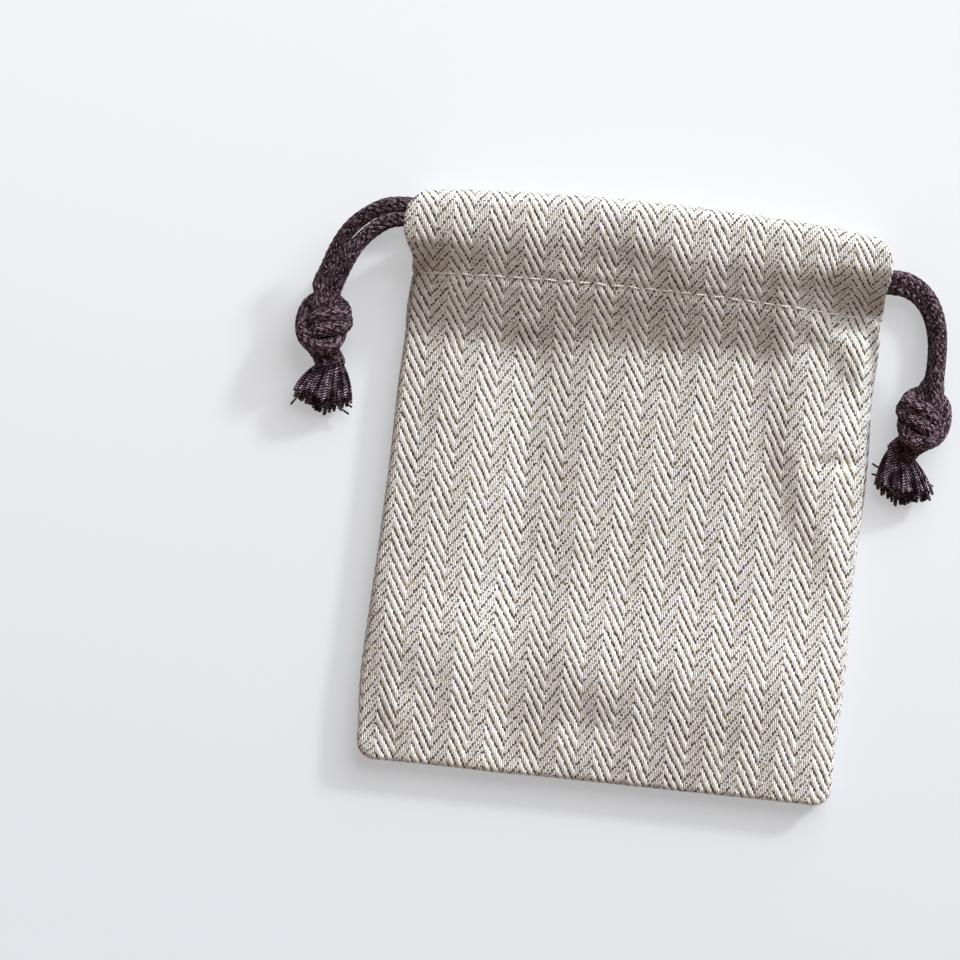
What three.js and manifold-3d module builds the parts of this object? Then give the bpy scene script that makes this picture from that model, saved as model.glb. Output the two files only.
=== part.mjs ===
import * as THREE from 'three';
import { mergeVertices } from 'three/addons/utils/BufferGeometryUtils.js';
import Module from 'manifold-3d';

// A drawstring pouch that lies flat on its back panel, in millimetres.
// X is the width, +Y points to the mouth and +Z points up from the surface it lies on.
// The origin is under the middle of the pouch.
// Two panels are sewn together along the sides and the bottom. The top of each is folded
// over to the inside as a casing, and two drawcords run through both casings from
// opposite sides. The two ends of each cord are tied together and frayed into a tassel.

// Cloth
const CLOTH = 0.8;
const POUCH_LENGTH = 121.5;
const BODY_HALF_WIDTH = 49.7;
const WAIST_TAPER = 1.2;
const CORNER_RADIUS = 4;
const SEAM_ALLOWANCE = 6;
const FOLD_RADIUS = 1.2;
const SEAM_GAP = 0.3;
const INSIDE_HEIGHT = 5.6;
const CROWN_POWER = 4;
const SLOPE_CROWN_POWER = 9;
const SPINE_END_FROM_BOTTOM = 50;
const SLOPE_LENGTH = 15;
const SLOPE_POWER = 1.7;

// Folds of the front panel. The right part stands higher, past a slope that runs aslant.
const TERRACE_HEIGHT = 2.6;
const TERRACE_CORNER_X = 22;
const TERRACE_CORNER_Y = 30;
const TERRACE_ANGLE = 26.6;
const TERRACE_SLOPE_LENGTH = 6.5;
const TERRACE_LOW_Y = -16;
const TERRACE_FULL_Y = 18;
const VALLEY_DEPTH = 1;
const VALLEY_HALF_WIDTH = 7;
const VALLEY_TOP_X = -21;
const VALLEY_BOTTOM_X = -10;
const VALLEY_TOP_Y = 30;
const VALLEY_BEND_LENGTH = 32;
const VALLEY_END_Y = 34;
const VALLEY_END_LENGTH = 10;
const DIMPLE_DEPTH = 0.9;
const DIMPLE_X = 3;
const DIMPLE_ABOVE_BOTTOM = 13.75;
const DIMPLE_HALF_WIDTH = 4;
const DIMPLE_HALF_LENGTH = 6;

// Casings
const CASING_DEPTH = 18;
const CASING_HALF_WIDTH = 51;
const CASING_CORNER_SETBACK = 1.6;
const CASING_CORNER_LENGTH = 8;
const INNER_LAYER_SETBACK = 7.5;
const SETBACK_START = 2;
const SETBACK_RAMP = 4;
const FOLD_ARCH = 2.4;
const STITCH_ARCH = 1.6;
const HEM_BELOW_STITCH = 1.5;
const HEM_ABOVE_STITCH = 2;
const HEM_TUCK = 0.5;
const HEM_SAG = 0.4;
const FLARE_LENGTH = 8;
const FRONT_PUFF_LENGTH = 9;
const BACK_PUFF_LENGTH = 6;
const FRONT_ROLL_HEIGHT = 7;
const MOUTH_GAP = 4.6;
const MOUTH_BOW = 0.4;

// Cords. A run's distance is from the fold of its casing.
const CORD_DIAMETER = 3.2;
const CORD_SIDES = 8;
const CORD_CLEARANCE = 0.3;
const JOINT_GAP = 0.3;
const PULL_OVERLAP = 41;
const TURN_INSET = 8;
const FRONT_RUN_OF_LEFT_CORD = 5.85;
const FRONT_RUN_OF_RIGHT_CORD = 10.35;
const BACK_RUN_OF_LEFT_CORD = 8.55;
const BACK_RUN_OF_RIGHT_CORD = 12.15;
const CORD_STEP = 1.2;

// Each strand's way from its exit to its knot: outwards from the exit, along Y from the
// exit, and height over the surface.
const RIGHT_FRONT_ROUTE = [
  [3.4, -0.3, 12.7], [6.6, -1.9, 11.5], [9.2, -4.8, 10], [10.9, -8.8, 8.7], [11.6, -13.2, 7.6],
];
const RIGHT_BACK_ROUTE = [
  [3.4, -0.2, 2.6], [6.3, -1.5, 2.2], [8.8, -4.2, 1.95], [10.4, -8, 1.95], [11.1, -12.2, 2.4],
];
const LEFT_FRONT_ROUTE = [
  [3.6, -0.5, 13.7], [7.2, -2.4, 11.9], [10.8, -5.7, 9.8], [13.4, -10.3, 8.1], [14.9, -14.7, 6.9],
];
const LEFT_BACK_ROUTE = [
  [3.2, -0.7, 2.6], [6.2, -2.8, 2.4], [9, -5.9, 2.3], [11, -9.8, 2.6], [12.4, -13.6, 3.2],
];

// Knots and tassels
const KNOT_HEIGHT = 5;
const RIGHT_KNOT = { x: 10, y: -27.6, turn: -13.6, drift: 3, entry: [0.25, 0, 0.97] };
const LEFT_KNOT = { x: 14.5, y: -25.4, turn: -3, drift: 1.2, entry: [0.85, 0, 0.5] };
const TASSEL_LENGTH = 9.5;
const TASSEL_TOP_WIDTH = 6.6;
const TASSEL_TOP_HEIGHT = 3.4;
const TASSEL_SKIRT_WIDTH = 12;
const TASSEL_SKIRT_HEIGHT = 5;
const TASSEL_TUFTS = 7;
const TUFT_DEPTH = 0.14;
const TUFT_RAGGEDNESS = 0.8;
const FLOOR_GAP = 0.25;

// Sizes that follow from the ones above
const WAIST_HALF_WIDTH = BODY_HALF_WIDTH - WAIST_TAPER;
const EDGE_HEIGHT = 2 * FOLD_RADIUS;
const HEM_HEIGHT = 3 * CLOTH;
const FRONT_SEAM_Z = EDGE_HEIGHT + SEAM_GAP;
const BOTTOM_Y = -POUCH_LENGTH / 2;
const FOLD_Y = POUCH_LENGTH / 2;
const STITCH_Y = FOLD_Y - CASING_DEPTH;
const SPINE_END_Y = BOTTOM_Y + SPINE_END_FROM_BOTTOM;
const CORD_RADIUS = CORD_DIAMETER / 2;
const TUNNEL_HEIGHT = CORD_DIAMETER + 2 * CORD_CLEARANCE;
const BACK_ROLL_TOP = TUNNEL_HEIGHT + 2 * CLOTH;
const FRONT_ROLL_BOTTOM = BACK_ROLL_TOP + MOUTH_GAP;
const LOWER_CORD_Z = FRONT_ROLL_BOTTOM + MOUTH_BOW + CLOTH + CORD_CLEARANCE + CORD_RADIUS;
const UPPER_CORD_Z = LOWER_CORD_Z + CORD_STEP;
const BACK_CORD_Z = CLOTH + CORD_CLEARANCE + CORD_RADIUS;
const FRONT_HEM_RISE = FRONT_ROLL_BOTTOM + MOUTH_BOW - HEM_SAG - FRONT_SEAM_Z;
const BODY_RISE = INSIDE_HEIGHT + 2 * CLOTH - FRONT_SEAM_Z - EDGE_HEIGHT;

const LINEN = 0xd9d2c6;
const BROWN = 0x3c2a28;

const wasm = await Module();
wasm.setup();

// Helpers

function mix(a, b, t) {
  return a + (b - a) * t;
}

function clamp01(t) {
  return Math.min(1, Math.max(0, t));
}

function ease(t) {
  const c = clamp01(t);
  return c * c * (3 - 2 * c);
}

function spread(from, to, steps) {
  return Array.from({ length: steps + 1 }, (_, i) => mix(from, to, i / steps));
}

function signedVolume(points, triangles) {
  let volume = 0;
  for (const [a, b, c] of triangles) {
    volume += points[a].dot(new THREE.Vector3().crossVectors(points[b], points[c]));
  }
  return volume / 6;
}

// Shares equal points, drops triangles that have shrunk to a line and turns the faces outwards.
function closedGeometry(points, triangles) {
  const geometry = new THREE.BufferGeometry().setFromPoints(points);
  geometry.setIndex(triangles.flat());
  const merged = mergeVertices(geometry, 1e-4);
  const index = merged.getIndex().array;
  const position = merged.getAttribute('position');
  const kept = [];
  for (let i = 0; i < index.length; i += 3) {
    const [a, b, c] = [index[i], index[i + 1], index[i + 2]];
    if (a !== b && b !== c && c !== a) kept.push([a, b, c]);
  }
  const shared = [];
  for (let i = 0; i < position.count; i += 1) {
    shared.push(new THREE.Vector3().fromBufferAttribute(position, i));
  }
  const outward = signedVolume(shared, kept) > 0;
  merged.setIndex(kept.flatMap(([a, b, c]) => (outward ? [a, b, c] : [a, c, b])));
  return merged;
}

function stripBetween(triangles, first, second, count, skip) {
  for (let j = 0; j < count; j += 1) {
    if (j === skip) continue;
    const k = (j + 1) % count;
    triangles.push([first + j, first + k, second + k]);
    triangles.push([first + j, second + k, second + j]);
  }
}

// Closes a ring. `forward` follows the ring's own direction.
function capOf(triangles, ring, start, flat, forward) {
  const outline = ring.map(flat);
  const turn = Math.sign(THREE.ShapeUtils.area(outline));
  for (const [a, b, c] of THREE.ShapeUtils.triangulateShape(outline, [])) {
    const area = THREE.ShapeUtils.area([outline[a], outline[b], outline[c]]);
    const same = Math.sign(area) === turn;
    triangles.push(same === forward
      ? [start + a, start + b, start + c]
      : [start + a, start + c, start + b]);
  }
}

// A solid through closed rings of equally many points, with both ends closed. The side
// after the point `skip` stays open where two rows of rings share it.
function loft(rings, flat, skip = -1) {
  const count = rings[0].length;
  const triangles = [];
  for (let i = 0; i + 1 < rings.length; i += 1) {
    stripBetween(triangles, i * count, (i + 1) * count, count, skip);
  }
  capOf(triangles, rings[0], 0, flat, false);
  capOf(triangles, rings.at(-1), (rings.length - 1) * count, flat, true);
  return closedGeometry(rings.flat(), triangles);
}

// A pipe between outer and inner rings, open right through from end to end.
function pipe(outerRings, innerRings) {
  const count = outerRings[0].length;
  const rows = outerRings.length;
  const points = [...outerRings.flat(), ...innerRings.flat()];
  const inner = rows * count;
  const triangles = [];
  for (let i = 0; i + 1 < rows; i += 1) {
    stripBetween(triangles, i * count, (i + 1) * count, count, -1);
    stripBetween(triangles, inner + (i + 1) * count, inner + i * count, count, -1);
  }
  stripBetween(triangles, inner, 0, count, -1);
  const last = (rows - 1) * count;
  stripBetween(triangles, last, inner + last, count, -1);
  return closedGeometry(points, triangles);
}

function toManifold(geometry) {
  const plain = geometry.clone();
  for (const name of Object.keys(plain.attributes)) {
    if (name !== 'position') plain.deleteAttribute(name);
  }
  const merged = mergeVertices(plain, 1e-4);
  return new wasm.Manifold(new wasm.Mesh({
    numProp: 3,
    vertProperties: Float32Array.from(merged.getAttribute('position').array),
    triVerts: Uint32Array.from(merged.getIndex().array),
  }));
}

function fromManifold(solid) {
  const mesh = solid.getMesh();
  const geometry = new THREE.BufferGeometry();
  geometry.setAttribute('position', new THREE.BufferAttribute(mesh.vertProperties, mesh.numProp));
  geometry.setIndex(new THREE.BufferAttribute(mesh.triVerts, 1));
  return geometry;
}

// Joins solids that overlap. Two thin sheets can trap a pinhole where they cross, so the
// outer skin alone is kept.
function fuse(geometries) {
  const joined = geometries.map(toManifold).reduce((sum, next) => sum.add(next));
  const skins = joined.decompose().sort((a, b) => b.volume() - a.volume());
  return fromManifold(skins[0]);
}

// Panels

// How far the cloth has risen from the side fold, at `t` of the way to the middle.
function crown(t, power = CROWN_POWER) {
  return 1 - (1 - clamp01(t)) ** power;
}

function bell(distance, halfWidth) {
  return Math.exp(-((distance / halfWidth) ** 2));
}

function halfWidthAt(y) {
  return mix(BODY_HALF_WIDTH, WAIST_HALF_WIDTH, ease((y - SPINE_END_Y) / (STITCH_Y - SPINE_END_Y)));
}

function archAt(x, arch) {
  return -arch * (x / WAIST_HALF_WIDTH) ** 2;
}

// The sewn outline, from the left end of the stitch line round the bottom to the right end.
function sewnOutline() {
  const sideRows = 12;
  const cornerSteps = 4;
  const bottomRows = 10;
  const left = [];
  const sideTop = STITCH_Y + archAt(WAIST_HALF_WIDTH, STITCH_ARCH);
  const sideBottom = BOTTOM_Y + CORNER_RADIUS;
  for (let i = 0; i < sideRows; i += 1) {
    const y = mix(sideTop, sideBottom, i / sideRows);
    left.push(new THREE.Vector2(-halfWidthAt(y), y));
  }
  const cornerX = -BODY_HALF_WIDTH + CORNER_RADIUS;
  for (let i = 0; i <= cornerSteps; i += 1) {
    const angle = Math.PI + (i / cornerSteps) * (Math.PI / 2);
    left.push(new THREE.Vector2(
      cornerX + CORNER_RADIUS * Math.cos(angle),
      sideBottom + CORNER_RADIUS * Math.sin(angle),
    ));
  }
  for (let i = 1; i < bottomRows / 2; i += 1) {
    left.push(new THREE.Vector2(mix(cornerX, 0, i / (bottomRows / 2)), BOTTOM_Y));
  }
  const right = left.map((p) => new THREE.Vector2(-p.x, p.y)).reverse();
  return [...left, new THREE.Vector2(0, BOTTOM_Y), ...right];
}

// The point on the pouch's middle line that a point of the outline looks towards.
function spinePoint(p) {
  const sideTop = STITCH_Y + archAt(WAIST_HALF_WIDTH, STITCH_ARCH);
  const t = clamp01((p.y - SPINE_END_Y) / (sideTop - SPINE_END_Y));
  return new THREE.Vector2(0, mix(SPINE_END_Y, STITCH_Y, t));
}

// How far the front panel has climbed from the body, at 0, to the hem of its casing, at 1.
// The body lies almost flat, and the cords hold the casing up.
function climbAt(y) {
  return clamp01((y - STITCH_Y + SLOPE_LENGTH) / SLOPE_LENGTH);
}

// The front panel's rise over the seam at `t` of the way in from its side. It is round over
// the body and steeper beside the climb.
function frontRise(t, climb) {
  return BODY_RISE * crown(t) + (FRONT_HEM_RISE - BODY_RISE) * climb * crown(t, SLOPE_CROWN_POWER);
}

// The front panel's soft folds: a terrace on the right, a valley on the left and a dimple.
function foldHeight(x, y) {
  const angle = THREE.MathUtils.degToRad(TERRACE_ANGLE);
  const across = (x - TERRACE_CORNER_X) * Math.cos(angle) + (y - TERRACE_CORNER_Y) * Math.sin(angle);
  const terrace = ease(across / TERRACE_SLOPE_LENGTH)
    * ease((y - TERRACE_LOW_Y) / (TERRACE_FULL_Y - TERRACE_LOW_Y));
  const bend = ease((VALLEY_TOP_Y - y) / VALLEY_BEND_LENGTH);
  const valley = bell(x - mix(VALLEY_TOP_X, VALLEY_BOTTOM_X, bend), VALLEY_HALF_WIDTH)
    * ease((VALLEY_END_Y - y) / VALLEY_END_LENGTH);
  const dimple = bell(x - DIMPLE_X, DIMPLE_HALF_WIDTH)
    * bell(y - BOTTOM_Y - DIMPLE_ABOVE_BOTTOM, DIMPLE_HALF_LENGTH);
  return TERRACE_HEIGHT * terrace - VALLEY_DEPTH * valley - DIMPLE_DEPTH * dimple;
}

// One panel's cross-section from an edge to the middle line: the turned-in allowance,
// the fold at the seam and the outer face, then the same way back inside the cloth.
function panelSection(p, isFront) {
  const foldSteps = 4;
  const faceSteps = 8;
  const seamZ = isFront ? FRONT_SEAM_Z : EDGE_HEIGHT;
  const up = isFront ? 1 : -1;
  const spine = spinePoint(p);
  const reach = p.distanceTo(spine);
  const inward = spine.clone().sub(p).divideScalar(reach);
  const climb = climbAt(spine.y);
  const at = (depth, height) => new THREE.Vector3(
    p.x + inward.x * depth,
    p.y + inward.y * depth,
    seamZ + up * height,
  );
  const side = (inset) => {
    const radius = FOLD_RADIUS - inset;
    const row = [at(SEAM_ALLOWANCE, inset)];
    for (let i = 0; i <= foldSteps; i += 1) {
      const angle = Math.PI * (i / foldSteps);
      row.push(at(FOLD_RADIUS - radius * Math.sin(angle), FOLD_RADIUS - radius * Math.cos(angle)));
    }
    for (let i = 1; i <= faceSteps; i += 1) {
      const t = i / faceSteps;
      const depth = mix(FOLD_RADIUS, reach, t);
      const place = at(depth, 0);
      const fold = foldHeight(place.x, place.y) * crown(t) * (1 - climb);
      const rise = isFront ? frontRise(t, climb ** SLOPE_POWER) + fold : 0;
      row.push(at(depth, EDGE_HEIGHT - inset + rise));
    }
    return row;
  };
  return { ring: [...side(0), ...side(CLOTH).reverse()], spineEdge: foldSteps + 1 + faceSteps };
}

function panelBody(isFront) {
  const sections = sewnOutline().map((p) => panelSection(p, isFront));
  const flat = (p) => new THREE.Vector2(p.x, p.z);
  return loft(sections.map((s) => s.ring), flat, sections[0].spineEdge);
}

// Casings

// The casing at one side of its section: `outer` is the face away from the mouth.
function casingZ(x, y, isFront, outer) {
  const stitch = STITCH_Y + archAt(x, STITCH_ARCH);
  const puff = ease((y - stitch) / (isFront ? FRONT_PUFF_LENGTH : BACK_PUFF_LENGTH));
  const bow = MOUTH_BOW * (1 - (x / CASING_HALF_WIDTH) ** 2);
  if (!isFront) return outer ? 0 : mix(HEM_HEIGHT, BACK_ROLL_TOP, puff);
  const t = 1 - Math.abs(x) / (WAIST_HALF_WIDTH - FOLD_RADIUS);
  const hem = FRONT_SEAM_Z + frontRise(t, 1);
  const roll = FRONT_ROLL_BOTTOM + bow;
  const tuck = HEM_TUCK * clamp01((stitch - y) / HEM_BELOW_STITCH);
  return outer
    ? mix(hem + HEM_HEIGHT, roll + FRONT_ROLL_HEIGHT, puff) - tuck
    : mix(hem, roll, puff);
}

// How far the casing reaches sideways at `depth` from its lower edge. The layer that faces
// the mouth stops short, so that a cord can turn into the other casing under the outer one.
function casingReach(depth, outer) {
  const total = CASING_DEPTH + HEM_BELOW_STITCH;
  const flare = ease(depth / FLARE_LENGTH);
  const corner = clamp01((depth - total + CASING_CORNER_LENGTH) / CASING_CORNER_LENGTH) ** 2;
  const full = mix(WAIST_HALF_WIDTH, CASING_HALF_WIDTH, flare) - CASING_CORNER_SETBACK * corner;
  if (outer) return full;
  const notch = ease((depth - SETBACK_START) / SETBACK_RAMP) * ease((total - depth) / SETBACK_RAMP);
  return full - INNER_LAYER_SETBACK * notch;
}

// One ring of a casing at `along` from -1 to 1 across the pouch, `inset` into the cloth.
function casingRing(along, isFront, inset) {
  const faceSteps = 7;
  const foldSteps = 4;
  const ring = [];
  const total = CASING_DEPTH + HEM_BELOW_STITCH;
  const up = isFront ? 1 : -1;
  const height = isFront ? FRONT_ROLL_HEIGHT : BACK_ROLL_TOP;
  const radius = height / 2;
  const add = (depth, blend) => {
    const x = along * mix(casingReach(depth, true), casingReach(depth, false), blend);
    const stitch = STITCH_Y + archAt(x, STITCH_ARCH);
    const fold = FOLD_Y + archAt(x, FOLD_ARCH);
    const y = mix(stitch - HEM_BELOW_STITCH, fold, depth / total);
    const outerZ = casingZ(x, y, isFront, true) - up * inset;
    const innerZ = casingZ(x, y, isFront, false) + up * inset;
    return { x, y, outerZ, innerZ };
  };
  const straightEnd = total - radius;
  const depths = inset
    ? spread(HEM_BELOW_STITCH + HEM_ABOVE_STITCH, straightEnd, faceSteps)
    : [0, ...spread(HEM_BELOW_STITCH, straightEnd, faceSteps - 1)];
  for (const depth of depths) {
    const p = add(depth, 0);
    ring.push(new THREE.Vector3(p.x, p.y, p.outerZ));
  }
  for (let i = 1; i < foldSteps; i += 1) {
    const angle = Math.PI * (i / foldSteps);
    const p = add(straightEnd + (radius - inset) * Math.sin(angle), i / foldSteps);
    ring.push(new THREE.Vector3(p.x, p.y, mix(p.outerZ, p.innerZ, (1 - Math.cos(angle)) / 2)));
  }
  for (const depth of depths.reverse()) {
    const p = add(depth, 1);
    ring.push(new THREE.Vector3(p.x, p.y, p.innerZ));
  }
  return ring;
}

function casing(isFront) {
  const rows = 14;
  const outer = [];
  const inner = [];
  for (let i = 0; i <= rows; i += 1) {
    const along = mix(-1, 1, i / rows);
    outer.push(casingRing(along, isFront, 0));
    inner.push(casingRing(along, isFront, CLOTH));
  }
  return pipe(outer, inner);
}

function panel(isFront) {
  return fuse([panelBody(isFront), casing(isFront)]);
}

// Cords

function cordSection() {
  const section = new THREE.Shape();
  for (let i = 0; i < CORD_SIDES; i += 1) {
    const angle = (i / CORD_SIDES) * 2 * Math.PI;
    section.lineTo(CORD_RADIUS * Math.cos(angle), CORD_RADIUS * Math.sin(angle));
  }
  return section;
}

function cordAlong(path, steps) {
  return new THREE.ExtrudeGeometry(cordSection(), { steps, extrudePath: path, bevelEnabled: false });
}

// Where each cord runs in the casings. Its two ends leave at `side`.
const runs = {
  right: {
    side: 1,
    frontY: FOLD_Y - FRONT_RUN_OF_RIGHT_CORD,
    frontZ: LOWER_CORD_Z,
    backY: FOLD_Y - BACK_RUN_OF_RIGHT_CORD,
  },
  left: {
    side: -1,
    frontY: FOLD_Y - FRONT_RUN_OF_LEFT_CORD,
    frontZ: UPPER_CORD_Z,
    backY: FOLD_Y - BACK_RUN_OF_LEFT_CORD,
  },
};

// The part of a cord that stays in the casings: along the front one, round the far end of
// the side seam and back along the back one.
function channelRun({ side, frontY, frontZ, backY }) {
  const turnSteps = 6;
  const start = side * (CASING_HALF_WIDTH - PULL_OVERLAP - JOINT_GAP);
  const turnX = -side * (CASING_HALF_WIDTH - TURN_INSET);
  const front = new THREE.Vector3(turnX, frontY, frontZ);
  const back = new THREE.Vector3(turnX, backY, BACK_CORD_Z);
  const middle = front.clone().add(back).divideScalar(2);
  const arm = front.clone().sub(middle);
  const outward = new THREE.Vector3(-side * arm.length(), 0, 0);
  const turn = spread(0, Math.PI, turnSteps).map((angle) => middle.clone()
    .addScaledVector(arm, Math.cos(angle))
    .addScaledVector(outward, Math.sin(angle)));
  const path = new THREE.CurvePath();
  path.add(new THREE.LineCurve3(new THREE.Vector3(start, frontY, frontZ), front));
  path.add(new THREE.CatmullRomCurve3(turn));
  path.add(new THREE.LineCurve3(back, new THREE.Vector3(start, backY, BACK_CORD_Z)));
  return cordAlong(path, 44);
}

// An overhand knot tied in two strands side by side. Each row is a point of the middle
// between the strands (across, along and up, in millimetres from the knot's centre), the
// direction from one strand to the other, and half the distance between them.
function knotRoute(entry) {
  return [
    [-0.4, -7.4, 0, ...entry, 1.85],
    [-0.3, -5.2, 0.5, 0.7, 0, 0.7, 1.6],
    [0, -2.6, 1, 0.9, 0.1, 0.4, 1.4],
    [-0.8, 0.2, -0.2, 0.95, 0.3, 0.1, 1.4],
    [-2.6, 2.7, -0.1, 0.5, 0.5, 0.7, 1.4],
    [-2.2, 4.9, 0.5, 0, 0.1, 1, 1.35],
    [0.6, 5.8, 1.2, 0, -0.1, 1, 1.35],
    [3.4, 4.4, 0.8, 0, 0, 1, 1.35],
    [4.3, 1.2, -0.4, 0.1, 0, 1, 1.3],
    [3.2, -2.2, -1.8, 0, -0.6, 0.8, 1.3],
    [0.2, -3.5, -2.4, 0, -0.9, 0.4, 1.3],
    [-3.2, -2.4, -1.4, 0.3, -0.8, 0.5, 1.3],
    [-4.2, -0.4, 0.8, 0.1, -0.85, 0.5, 1.3],
    [-1.8, 0.2, 2.7, 0.1, -1, 0.1, 1.4],
    [1.2, 1, 2.6, 0.2, -0.95, -0.1, 1.35],
    [2.3, 2.8, 0.5, -0.5, -0.7, -0.4, 1.3],
    [1, 5, -2, -0.95, -0.2, -0.1, 1.4],
    [-0.8, 7.2, -2.5, -1, -0.1, 0, 1.5],
    [-1.8, 9.2, -2.5, -1, -0.2, 0, 1.6],
  ];
}

// Turns a knot's own measures (across, along, up) into a place beside the pouch.
function knotPlace({ side, frontY }, knot) {
  const angle = THREE.MathUtils.degToRad(knot.turn);
  const centre = new THREE.Vector3(side * (CASING_HALF_WIDTH + knot.x), frontY + knot.y, KNOT_HEIGHT);
  const across = new THREE.Vector3(side * Math.cos(angle), Math.sin(angle), 0);
  const along = new THREE.Vector3(side * Math.sin(angle), -Math.cos(angle), 0);
  return (u, v, w) => centre.clone()
    .addScaledVector(across, u)
    .addScaledVector(along, v)
    .add(new THREE.Vector3(0, 0, w));
}

// One strand through the knot. `hand` is 1 for the front strand and -1 for the back one.
function knotStrand(run, knot, hand) {
  const place = knotPlace(run, knot);
  const points = knotRoute(knot.entry).map(([u, v, w, pu, pv, pw, half]) => {
    const step = (hand * half) / Math.hypot(pu, pv, pw);
    return place(u + pu * step, v + pv * step, w + pw * step);
  });
  return new THREE.CatmullRomCurve3(points);
}

// The strand's rings in short lengths, because a knot passes over itself.
function strandLengths(curve) {
  const steps = 30;
  const stepsPerLength = 5;
  const { normals, binormals } = curve.computeFrenetFrames(steps, false);
  const rings = curve.getSpacedPoints(steps).map((centre, i) => {
    const ring = [];
    for (let j = 0; j < CORD_SIDES; j += 1) {
      const angle = (j / CORD_SIDES) * 2 * Math.PI;
      ring.push(centre.clone()
        .addScaledVector(normals[i], CORD_RADIUS * Math.cos(angle))
        .addScaledVector(binormals[i], CORD_RADIUS * Math.sin(angle)));
    }
    return ring;
  });
  const lengths = [];
  for (let i = 0; i < steps; i += stepsPerLength) {
    lengths.push(loft(rings.slice(i, i + stepsPerLength + 1), (p, j) => new THREE.Vector2(
      Math.cos((j / CORD_SIDES) * 2 * Math.PI),
      Math.sin((j / CORD_SIDES) * 2 * Math.PI),
    )));
  }
  return lengths;
}

function knotSolid(run, knot) {
  return fuse([1, -1].flatMap((hand) => strandLengths(knotStrand(run, knot, hand))));
}

// A strand that moves with its knot: straight inside the casing, out of its end and over
// to the knot, where it stops face to face with the knot's own strand.
function pulledStrand(run, knot, hand, route) {
  const straightSteps = 4;
  const y = hand > 0 ? run.frontY : run.backY;
  const z = hand > 0 ? run.frontZ : BACK_CORD_Z;
  const exit = run.side * CASING_HALF_WIDTH;
  const inside = run.side * (CASING_HALF_WIDTH - PULL_OVERLAP);
  const entry = knotStrand(run, knot, hand);
  const face = entry.getPoint(0);
  const heading = entry.getTangent(0);
  const path = new THREE.CatmullRomCurve3([
    ...spread(inside, exit, straightSteps).map((x) => new THREE.Vector3(x, y, z)),
    ...route.map(([out, along, height]) => new THREE.Vector3(exit + run.side * out, y + along, height)),
    face.clone().addScaledVector(heading, -JOINT_GAP - CORD_RADIUS),
    face.clone().addScaledVector(heading, -JOINT_GAP),
  ]);
  return cordAlong(path, 14);
}

// The frayed ends below a knot: a skirt of tufts that spreads as it lies on the surface.
function tassel(run, knot) {
  const rows = 5;
  const pointsPerTuft = 4;
  const count = TASSEL_TUFTS * pointsPerTuft;
  const place = knotPlace(run, knot);
  const [u, v, w] = knotRoute(knot.entry).at(-1);
  const rings = spread(0, 1, rows).map((t) => {
    const width = mix(TASSEL_TOP_WIDTH, TASSEL_SKIRT_WIDTH, ease(t) ** 0.7);
    const height = mix(TASSEL_TOP_HEIGHT, TASSEL_SKIRT_HEIGHT, ease(t));
    const lift = Math.max(mix(w, w - 1, t), height / 2 * (1 + TUFT_DEPTH) + FLOOR_GAP - KNOT_HEIGHT);
    const ring = [];
    for (let i = 0; i < count; i += 1) {
      const angle = (i / count) * 2 * Math.PI;
      const tuft = Math.cos(TASSEL_TUFTS * angle);
      const swell = 1 + TUFT_DEPTH * t * tuft;
      ring.push(place(
        u + knot.drift * t + (width / 2) * swell * Math.cos(angle),
        v + JOINT_GAP + CORD_RADIUS / 2 + TASSEL_LENGTH * t + TUFT_RAGGEDNESS * t * t * tuft,
        lift + (height / 2) * swell * Math.sin(angle),
      ));
    }
    return ring;
  });
  return loft(rings, (p, i) => new THREE.Vector2(
    Math.cos((i / count) * 2 * Math.PI),
    Math.sin((i / count) * 2 * Math.PI),
  ));
}

const pouch = new THREE.Group();

function addPiece(name, geometry, color, roughness) {
  const material = new THREE.MeshStandardMaterial({ color, roughness, metalness: 0 });
  const mesh = new THREE.Mesh(geometry, material);
  mesh.name = name;
  pouch.add(mesh);
}

addPiece('front_panel', panel(true), LINEN, 0.9);
addPiece('back_panel', panel(false), LINEN, 0.9);

const pulls = [
  { name: 'right', run: runs.right, knot: RIGHT_KNOT, front: RIGHT_FRONT_ROUTE, back: RIGHT_BACK_ROUTE },
  { name: 'left', run: runs.left, knot: LEFT_KNOT, front: LEFT_FRONT_ROUTE, back: LEFT_BACK_ROUTE },
];
for (const { name, run, knot, front, back } of pulls) {
  addPiece(`${name}_cord_channel`, channelRun(run), BROWN, 0.85);
  addPiece(`${name}_cord_front_end`, pulledStrand(run, knot, 1, front), BROWN, 0.85);
  addPiece(`${name}_cord_back_end`, pulledStrand(run, knot, -1, back), BROWN, 0.85);
  addPiece(`${name}_knot`, knotSolid(run, knot), BROWN, 0.85);
  addPiece(`${name}_tassel`, tassel(run, knot), BROWN, 0.9);
}

export default pouch;
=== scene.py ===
import math
import random

import bmesh
import bpy
import numpy as np
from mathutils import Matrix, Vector, noise


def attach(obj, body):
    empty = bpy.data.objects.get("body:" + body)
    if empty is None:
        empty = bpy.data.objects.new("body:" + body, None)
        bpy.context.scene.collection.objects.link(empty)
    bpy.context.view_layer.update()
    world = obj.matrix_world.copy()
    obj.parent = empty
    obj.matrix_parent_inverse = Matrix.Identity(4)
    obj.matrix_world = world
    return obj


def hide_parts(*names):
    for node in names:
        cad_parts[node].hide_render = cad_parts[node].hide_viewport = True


# The pouch lies on its back panel on the floor at z = 0, with its mouth towards +Y.
# Lengths are metres. MM turns a size in millimetres into metres.
MM = 0.001

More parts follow.
